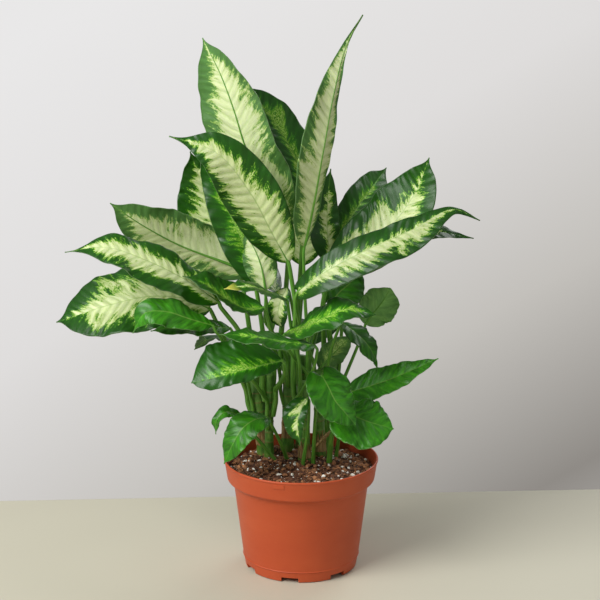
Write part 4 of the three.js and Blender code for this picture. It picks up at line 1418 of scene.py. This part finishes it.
@dataclass
class DrySheaths:
    """Torn dead sheaths that still cling to the canes, and one dead stalk.

    clinging names each sheath's cane, its lower edge, its highest shred, and which way it faces in degrees
    from +X. shreds are the two waves that tear its upper edge, torn how far down they tear, corners how far
    its sides are torn off, and crumple the height and count of its lengthwise folds.
    """

    skin: bpy.types.Material
    clinging: tuple[tuple[str, int, int, int], ...] = (
        ("left_thick", 112, 136, 250),
        ("middle", 118, 150, 280),
        ("front", 108, 128, 265),
        ("right", 110, 134, 300),
    )
    grid: tuple[int, int] = (28, 24)
    span: float = 150.0
    stand_off: float = 0.5
    flare: float = 1.2
    shreds: Pair = (5.1, 11.3)
    torn: float = 0.55
    corners: float = 0.35
    crumple: Pair = (0.25, 14.0)
    thickness: float = 0.35
    stalk_path: tuple[Point, ...] = ((3, 8, 100), (6, 6, 112), (16, 1, 122), (26, -3, 134), (31, -4, 139))
    stalk_radius: float = 2.0
    stalk_steps: int = 40

    def cling(self, cane: Cane, low: int, high: int, turn: int) -> None:
        """Makes one ragged sheath round part of a cane.

        Args:
            cane: The cane that it clings to.
            low: Height of its lower edge.
            high: Height of its highest shred.
            turn: Which way it faces.
        """
        piece, rise, across = fresh_grid(f"dry_sheath_{cane.name}_{low}", *self.grid)
        coarse, fine = self.shreds
        shreds = np.abs(np.sin(coarse * across + low) * np.sin(fine * across + 2 * low))
        height = low + rise * (high - low) * (1 - self.torn * shreds) * (1 - self.corners * across**2)
        share = (height - SOIL_EDGE) / (cane.top[2] - SOIL_EDGE)
        folds = self.crumple[0] * np.sin(self.crumple[1] * across)
        out = cane.girth(share) + self.stand_off + self.flare * rise**4 * shreds + folds
        angle = np.radians(turn - across * self.span / 2)
        shape(piece, cane.middle(height) + polar(out, angle, 0.0))
        piece.data.materials.append(self.skin)
        apply_modifier(piece, "SOLIDIFY", thickness=self.thickness * MM, offset=0.0)
        dress(piece, "cane_skin")

    def stalk(self) -> None:
        """Makes the dead stalk that leans out of the mix to the right of the canes."""
        path = spaced(np.array(self.stalk_path, float), self.stalk_steps)
        share = np.linspace(0, 1, self.stalk_steps)
        radii = self.stalk_radius * (1 - 0.3 * share) + 0.3 * np.sin(9 * share)
        piece, _, _ = tube("dry_stalk", path, radii, 14)
        close_up(piece)
        piece.data.materials.append(self.skin)
        dress(piece, "cane_skin")

    def build(self) -> None:
        """Makes the sheaths and the dead stalk."""
        for name, low, high, turn in self.clinging:
            self.cling(CANES[name], low, high, turn)
        self.stalk()


# ---- the leaves ----


@dataclass
class LeafMaker:
    """Shapes each leaf's blade, keel and stalk as the part's own solids run.

    skins are the materials of the upper face, the lower face and the stalk.
    """

    skins: list[bpy.types.Material]
    # The blade: the left margin's waves run ahead of the right's by wave_shift of a wave, and the grid
    # stops just short of the midrib's two ends.
    thickness: float = 0.7
    drip_narrowing: float = 0.75
    least_half: float = 0.5
    wave_count: float = 3.0
    wave_shift: float = 0.37
    inset: float = 0.004
    # Waves finer than the solid's: across the margin, along it, and between the side veins. A row gives a
    # wave's share of the height, its count along the blade, and its shift with the leaf's seed and with the
    # side.
    ruffle: float = 0.9
    ruffles: tuple[tuple[float, ...], ...] = ((1.0, 5.3, 0.31, 2), (0.6, 11, -1, -1))
    nick: float = 0.6
    nicks: tuple[tuple[float, ...], ...] = ((1.0, 8.7, 1, 1),)
    swell: float = 0.3
    seed_step: float = 3.7
    # The stalk: its foot is a sheath that reaches down into the cane, and it rises beside the cane, this
    # far off its skin and a little farther above. It comes to the blade partly along the midrib and partly
    # from below.
    foot_radius: float = 3.0
    tip_radius: float = 2.0
    small_stalk: float = 0.7
    broad: float = 45.0
    sheath: float = 18.0
    rise_beside: float = 16.0
    beside_cane: float = 0.7
    farther_above: float = 0.6
    come_along: float = 0.5
    come_up: float = 0.8
    hole_depth: float = 12.0
    above_mix: float = 4.0
    # The keel under the midrib ends before the tip.
    keel_end: float = 0.93
    keel_middle: float = 0.85
    keel_tip: float = 0.3
    # Settling: what skins keep between them, and how many of a stalk's points stay where they are at each
    # end.
    stalk_clearance: float = 2.2
    blade_clearance: float = 4.2
    cane_clearance: float = 1.35
    rooted: int = 4
    joined: int = 2
    rounds: int = 90
    most_push: float = 1.5
    stiffness: float = 0.45
    # How finely each is divided, and the length and thickness that a stem's streaks are drawn for.
    points: int = 24
    long: int = 88
    wide: int = 36
    fine: int = 200
    stalk_rings: int = 60
    keel_rings: int = 50
    stalk_sides: int = 14
    stem_length: float = 300.0
    stem_thickness: float = 2.0

    def scale(self, leaf: Leaf) -> float:
        """Gives the stalk's size over a broad leaf's."""
        return self.small_stalk if leaf.width < self.broad else 1.0

    def stalk_radius(self, leaf: Leaf, share: Array) -> Array:
        """Gives the stalk's radius at a share of its length."""
        return (self.foot_radius + (self.tip_radius - self.foot_radius) * share) * self.scale(leaf)

    def half_width(self, leaf: Leaf, right: Array, share: Array) -> Array:
        """Gives the width of one half of the blade.

        Args:
            leaf: The leaf.
            right: 1 for the half on the right of the midrib, seen from its base, and 0 for the left.
            share: Shares of the blade's length.

        Returns:
            The widths.
        """
        widest = leaf.widest + np.where(right == 1, leaf.lean, -leaf.lean)
        to_widest = np.clip(share / widest, 0, 1)
        past = np.clip((share - widest) / (1 - widest), 0, 1)
        full = np.where(share < widest, (1 - (1 - to_widest) ** 2) ** leaf.blunt, 1 - past**leaf.point)
        narrow = np.clip((share - 1 + leaf.drip) / leaf.drip, 0, 1)
        full = full * (1 - self.drip_narrowing * narrow**2 * (3 - 2 * narrow))
        part = np.where(right == 1, 1 - leaf.skew, leaf.skew)
        return np.maximum(leaf.width * part * full, self.least_half)

    def frames(self, leaf: Leaf, share: Array) -> tuple[Array, Array, Array, Array]:
        """Gives the midrib's point, its direction, the upper face's direction and the sideways one.

        Args:
            leaf: The leaf.
            share: Shares of the blade's length.

        Returns:
            Four arrays, a row for each share.
        """
        table = spaced(np.array(leaf.midrib, float), self.fine + 1)
        along = unit(at_shares(unit(np.gradient(table, axis=0)), share))
        faces = leaf.face if len(leaf.face) > 1 else leaf.face * 2
        up = at_shares(unit(np.array(faces, float)), share)
        up = unit(up - (up * along).sum(-1, keepdims=True) * along)
        return at_shares(table, share), along, up, np.cross(along, up)

    def surface(self, leaf: Leaf, share: Array, across: Array) -> Array:
        """Gives the blade's middle surface.

        Args:
            leaf: The leaf.
            share: Share of the length at each point.
            across: From -1 at one edge to 1 at the other.

        Returns:
            The points.
        """
        point, along, up, side = self.frames(leaf, share)
        right = (across >= 0).astype(int)
        half = self.half_width(leaf, right, share)
        reach = np.abs(across)
        fold = np.radians(np.array(leaf.fold, float))[right]
        curl = np.radians(np.array(leaf.curl, float))[right]
        flat = half * np.sin(curl * reach) / curl
        lift = half * (1 - np.cos(curl * reach)) / curl
        out = flat * np.cos(fold) - lift * np.sin(fold)
        phase = np.where(right == 1, 0.0, self.wave_shift)
        waves = leaf.wave * reach**2 * np.sin(2 * np.pi * (self.wave_count * share + phase))
        rise = flat * np.sin(fold) + lift * np.cos(fold) + waves * np.sqrt(np.sin(np.pi * share))
        back = leaf.lobe * reach**1.5 * (1 - share) ** 3
        return point + side * (np.sign(across) * out)[:, None] + up * rise[:, None] - along * back[:, None]

    def first_run(self, leaf: Leaf) -> Array:
        """Gives the stalk's first run: up beside its cane or out of the mix, then over to the blade.

        Args:
            leaf: The leaf.

        Returns:
            The stalk's points.
        """
        point, along, _, _ = (row[0] for row in self.frames(leaf, np.array([0.0])))
        before = point - self.rise_beside * unit(self.come_along * along + (0, 0, self.come_up))
        if isinstance(leaf.grown[0], str):
            name, height, turn = leaf.grown
            cane = CANES[name]
            out = cane.girth(0.6) + self.stalk_radius(leaf, 0) + self.beside_cane
            beside = polar(1.0, math.radians(turn), 0.0)
            start = [cane.middle(height) + out * beside]
            start.append(cane.middle(height + self.rise_beside) + (out + self.farther_above) * beside)
        else:
            x, y = leaf.grown
            ground = soil_height(x, y)
            start = [(x, y, ground - self.hole_depth + 1), (x, y, ground + self.above_mix)]
        return spaced(np.array([*start, before, point]), self.points)

    def obstacles(self) -> tuple[Array, Array, Array]:
        """Gathers the points of blades and canes that stalks keep clear of.

        Returns:
            The points, the leaf that each belongs to or -1, and how far off a stalk's skin stays.
        """
        grid = np.meshgrid(np.arange(1, 12) / 12, np.linspace(-1, 1, 5), indexing="ij")
        share, across = (lines.ravel() for lines in grid)
        points = [self.surface(leaf, share, across) for leaf in LEAVES]
        owner = list(np.repeat(np.arange(len(LEAVES)), len(share)))
        need = [self.blade_clearance] * len(owner)
        for cane in CANES.values():
            heights = np.arange(SOIL_EDGE, cane.top[2] + 1e-6, 5.0)
            points.append(cane.middle(heights))
            owner += [-1] * len(heights)
            need += [cane.girth(0.4) + self.cane_clearance] * len(heights)
        return np.vstack(points), np.array(owner), np.array(need)

    def runs(self) -> Array:
        """Leans the stalks out of each other's way and round the blades and canes, as growing ones do.

        Returns:
            Each leaf's stalk as points from its foot to its blade.
        """
        runs = np.stack([self.first_run(leaf) for leaf in LEAVES])
        steps = np.arange(self.points) / self.points
        own = np.stack([self.stalk_radius(leaf, steps) for leaf in LEAVES])
        middle = np.array([self.stalk_radius(leaf, 0.5) for leaf in LEAVES])
        whose = np.repeat(np.arange(len(LEAVES)), self.points)
        fixed, owner, need = self.obstacles()
        free = np.arange(self.rooted, self.points - self.joined)
        for _ in range(self.rounds):
            pushes = np.zeros_like(runs)
            for index in range(len(LEAVES)):
                others, solid = whose != index, owner != index
                targets = np.vstack([runs.reshape(-1, 3)[others], fixed[solid]])
                wants = np.concatenate([middle[whose[others]] + self.stalk_clearance, need[solid]])
                wants = own[index, free][:, None] + wants[None]
                apart = runs[index, free][:, None] - targets[None]
                distance = np.linalg.norm(apart, axis=2)
                close = (distance < wants) & (distance > 1e-6)
                push = np.where(close, 0.5 * (wants - distance) / np.maximum(distance, 1e-6), 0)
                pushes[index, free] = (apart * push[..., None]).sum(1)
            size = np.linalg.norm(pushes, axis=2, keepdims=True)
            runs = runs + pushes * np.minimum(1, self.most_push / np.maximum(size, 1e-9))
            between = (runs[:, free - 1] + runs[:, free + 1]) / 2
            runs[:, free] += self.stiffness * (between - runs[:, free])
        return runs

    def blade(self, leaf: Leaf, seed: float) -> bpy.types.Object:
        """Makes the blade as a thin shell, its pattern's place written at each vertex.

        Args:
            leaf: The leaf.
            seed: Sets this leaf's pattern apart.

        Returns:
            The blade, its upper skin in the first material slot and its lower in the second.
        """
        piece, share, across = fresh_grid(f"leaf_{leaf.name}_skin", self.long, self.wide)
        share, across = self.inset + (1 - 2 * self.inset) * share, -across
        points = self.surface(leaf, share, across)
        _, along, up, _ = self.frames(leaf, share)
        side, reach = np.sign(across), np.abs(across)
        calm = np.sin(np.pi * share) ** 0.7
        ruffle, nick = np.zeros(len(share)), np.zeros(len(share))
        for total, waves in ((ruffle, self.ruffles), (nick, self.nicks)):
            for part, count, by_seed, by_side in waves:
                total += part * np.sin(2 * np.pi * (count * share + by_seed * seed) + by_side * side)
        broad = min(1.0, leaf.width / self.broad)
        edge = broad * (reach**3 * calm)[:, None]
        points = points + self.ruffle * up * edge * ruffle[:, None]
        points = points + self.nick * along * edge * nick[:, None]
        midrib = spaced(np.array(leaf.midrib, float), self.stalk_rings)
        length = np.linalg.norm(np.diff(midrib, axis=0), axis=1).sum()
        half = self.half_width(leaf, (across >= 0).astype(int), share)
        swell = np.sin(2 * np.pi * (share * length - VEIN_SWEEP * reach * half) / VEIN_SPACING)
        swell = swell * np.sin(np.pi * reach) * calm
        shape(piece, points + broad * self.swell * up * swell[:, None])
        note(piece, "blade", share * length, across * half, seed)
        note(piece, "mark", share, reach, np.where(across >= 0, leaf.cream[1], leaf.cream[0]))
        # tint holds the pattern, the brightness (partly painted light and shade) and the yellow tip.
        note(piece, "tint_and_shade", leaf.pattern.value, leaf.tone, leaf.yellow_tip)
        for skin in self.skins:
            piece.data.materials.append(skin)
        wall = {"thickness": self.thickness * MM, "offset": 0.0}
        apply_modifier(piece, "SOLIDIFY", material_offset=1, material_offset_rim=0, **wall)
        piece.data.shade_smooth()
        return piece

    def stem(self, leaf: Leaf, run: Array, seed: float) -> bpy.types.Object:
        """Makes the stalk and the midrib's keel under the blade as one tapering tube.

        Args:
            leaf: The leaf.
            run: The stalk's points.
            seed: Sets this stalk's streaks apart.

        Returns:
            The tube, in the third material slot.
        """
        if isinstance(leaf.grown[0], str):
            # The foot is a sheath that runs down into its cane.
            name, height, _ = leaf.grown
            foot = (CANES[name].middle(height - self.sheath) + run[0] - (0, 0, self.sheath)) / 2
            run = np.vstack([foot, run])
        stalk = spaced(run, self.stalk_rings)
        radii = self.stalk_radius(leaf, np.linspace(0, 1, self.stalk_rings))
        share = np.linspace(0, self.keel_end, self.keel_rings)[1:]
        # It thins fast and sinks into the blade's underside toward the tip.
        sizes = [self.tip_radius, self.keel_middle, self.keel_tip]
        keel = np.interp(share, [0, 0.36, 1], sizes) * self.scale(leaf)
        point, _, up, _ = self.frames(leaf, share)
        under = point - up * (keel * np.interp(share, [0, 0.3], [0.6, 0.95]))[:, None]
        rings, radii = np.vstack([stalk, under]), np.concatenate([radii, keel])
        piece, along, turn = tube("stem_" + leaf.name, rings, radii, self.stalk_sides)
        note(piece, "blade", along * self.stem_length, turn * self.stem_thickness, seed)
        close_up(piece)
        for skin in self.skins:
            piece.data.materials.append(skin)
        piece.data.polygons.foreach_set("material_index", np.full(len(piece.data.polygons), 2, np.int32))
        return piece

    def build(self) -> None:
        """Makes every leaf and dresses it."""
        for index, (leaf, run) in enumerate(zip(LEAVES, self.runs())):
            seed = self.seed_step * index
            piece = join(self.blade(leaf, seed), self.stem(leaf, run, seed))
            dress(piece, "leaf_blade", "leaf_" + leaf.name)


# ---- the stage ----


@dataclass
class Stage:
    """Floor, light and camera, in metres. lamps gives each one's name, place, side and watts."""

    table_size: Point = (5.0, 3.0, 0.04)
    table_gap: float = 0.0005
    table_edge: float = 0.004
    back_edge: float = 0.19
    back_turn: float = 3.2
    lamps: tuple[tuple[str, Point, float, float], ...] = (
        ("key", (-1.3, -1.1, 1.6), 1.3, 54),
        ("back", (0.9, 1.5, 1.3), 1.0, 12),
        ("fill", (1.6, -1.8, 0.9), 1.6, 5),
    )
    lit: Point = (0, 0, 0.25)
    surroundings: float = 0.38
    backdrop_fall: Point = (0.94, 0.0, -1.61)
    eye: Point = (-0.001, -1.6, 0.665)
    pitch: float = 13.87
    lens: float = 102.2

    def floor(self) -> None:
        """Lays a matt table top that ends behind the pot, with a rounded edge."""
        select_only()
        _, deep, thick = self.table_size
        place = (0, self.back_edge - deep / 2, -thick / 2 - self.table_gap)
        turn = (0, 0, math.radians(self.back_turn))
        bpy.ops.mesh.primitive_cube_add(size=1, location=place, rotation=turn)
        table = bpy.context.object
        table.name = "table_top"
        table.scale = self.table_size
        bpy.ops.object.transform_apply(location=True, rotation=True, scale=True)
        apply_modifier(table, "BEVEL", width=self.table_edge, segments=4)
        table.data.materials.append(BoardPaint("Painted board").material())

    def light(self) -> None:
        """Adds square soft lamps that point at the plant's middle."""
        for name, place, size, power in self.lamps:
            data = bpy.data.lights.new(name, "AREA")
            data.size = size
            data.energy = power
            lamp = bpy.data.objects.new(name, data)
            lamp.location = place
            lamp.rotation_euler = (Vector(self.lit) - Vector(place)).to_track_quat("-Z", "Y").to_euler()
            bpy.context.scene.collection.objects.link(lamp)

    def surround(self) -> None:
        """Makes the pale backdrop, brightest up on the left and falling off down to the right."""
        world = bpy.data.worlds.new("Studio")
        world.use_nodes = True
        tree = world.node_tree
        tree.nodes.clear()
        way = add(tree, "TexCoord").outputs["Generated"]
        fall = add(tree, "VectorMath", {0: way, 1: self.backdrop_fall}, operation="DOT_PRODUCT")
        shades = ((0.0, "#e9e8e8"), (0.28, "#dfdddc"), (0.5, "#c3c0bb"), (0.68, "#8f8b86"), (0.95, "#d4d2cf"))
        colour = add(tree, "ValToRGB", {"Fac": fall}, shades)
        seen = add(tree, "LightPath").outputs["Is Camera Ray"]
        strength = add(tree, "MapRange", {0: seen, 3: self.surroundings, 4: 1.0})
        glow = add(tree, "Background", {"Color": colour, "Strength": strength})
        add(tree, "OutputWorld", {"Surface": glow})
        bpy.context.scene.world = world

    def build(self) -> None:
        """Makes the floor, the lamps, the surroundings and the camera."""
        self.floor()
        self.light()
        self.surround()
        data = bpy.data.cameras.new("camera")
        data.lens = self.lens
        camera = bpy.data.objects.new("camera", data)
        camera.location = self.eye
        camera.rotation_euler = (math.radians(90 - self.pitch), 0, 0)
        bpy.context.scene.collection.objects.link(camera)
        bpy.context.scene.camera = camera
        bpy.context.scene.view_settings.view_transform = "Standard"


def main() -> None:
    """Builds the plant piece by piece."""
    logging.basicConfig(level=logging.INFO, format="%(message)s")
    Stage().build()
    Pot(PotPlastic("Moulded polypropylene")).build()
    PottingMix().build()
    maker = CaneMaker(CaneSkin("Green cane skin").material())
    for cane in CANES.values():
        maker.build(cane)
    DrySheaths(DrySkin("Papery dead leaf sheath").material()).build()
    upper = LeafSkin("Waxy leaf face", "#1f530b", "#367b12", "#75a727", "#b3c578", "#cdd6a8", 0.34, 0.14)
    lower = LeafSkin("Matt leaf underside", "#4a7836", "#628f45", "#8aae4f", "#b4c484", "#c8d1a6", 0.55, 0.1)
    stalk = StalkSkin("Waxy leaf stalk")
    LeafMaker([finish.material() for finish in (upper, lower, stalk)]).build()


if __name__ == "__main__":
    main()
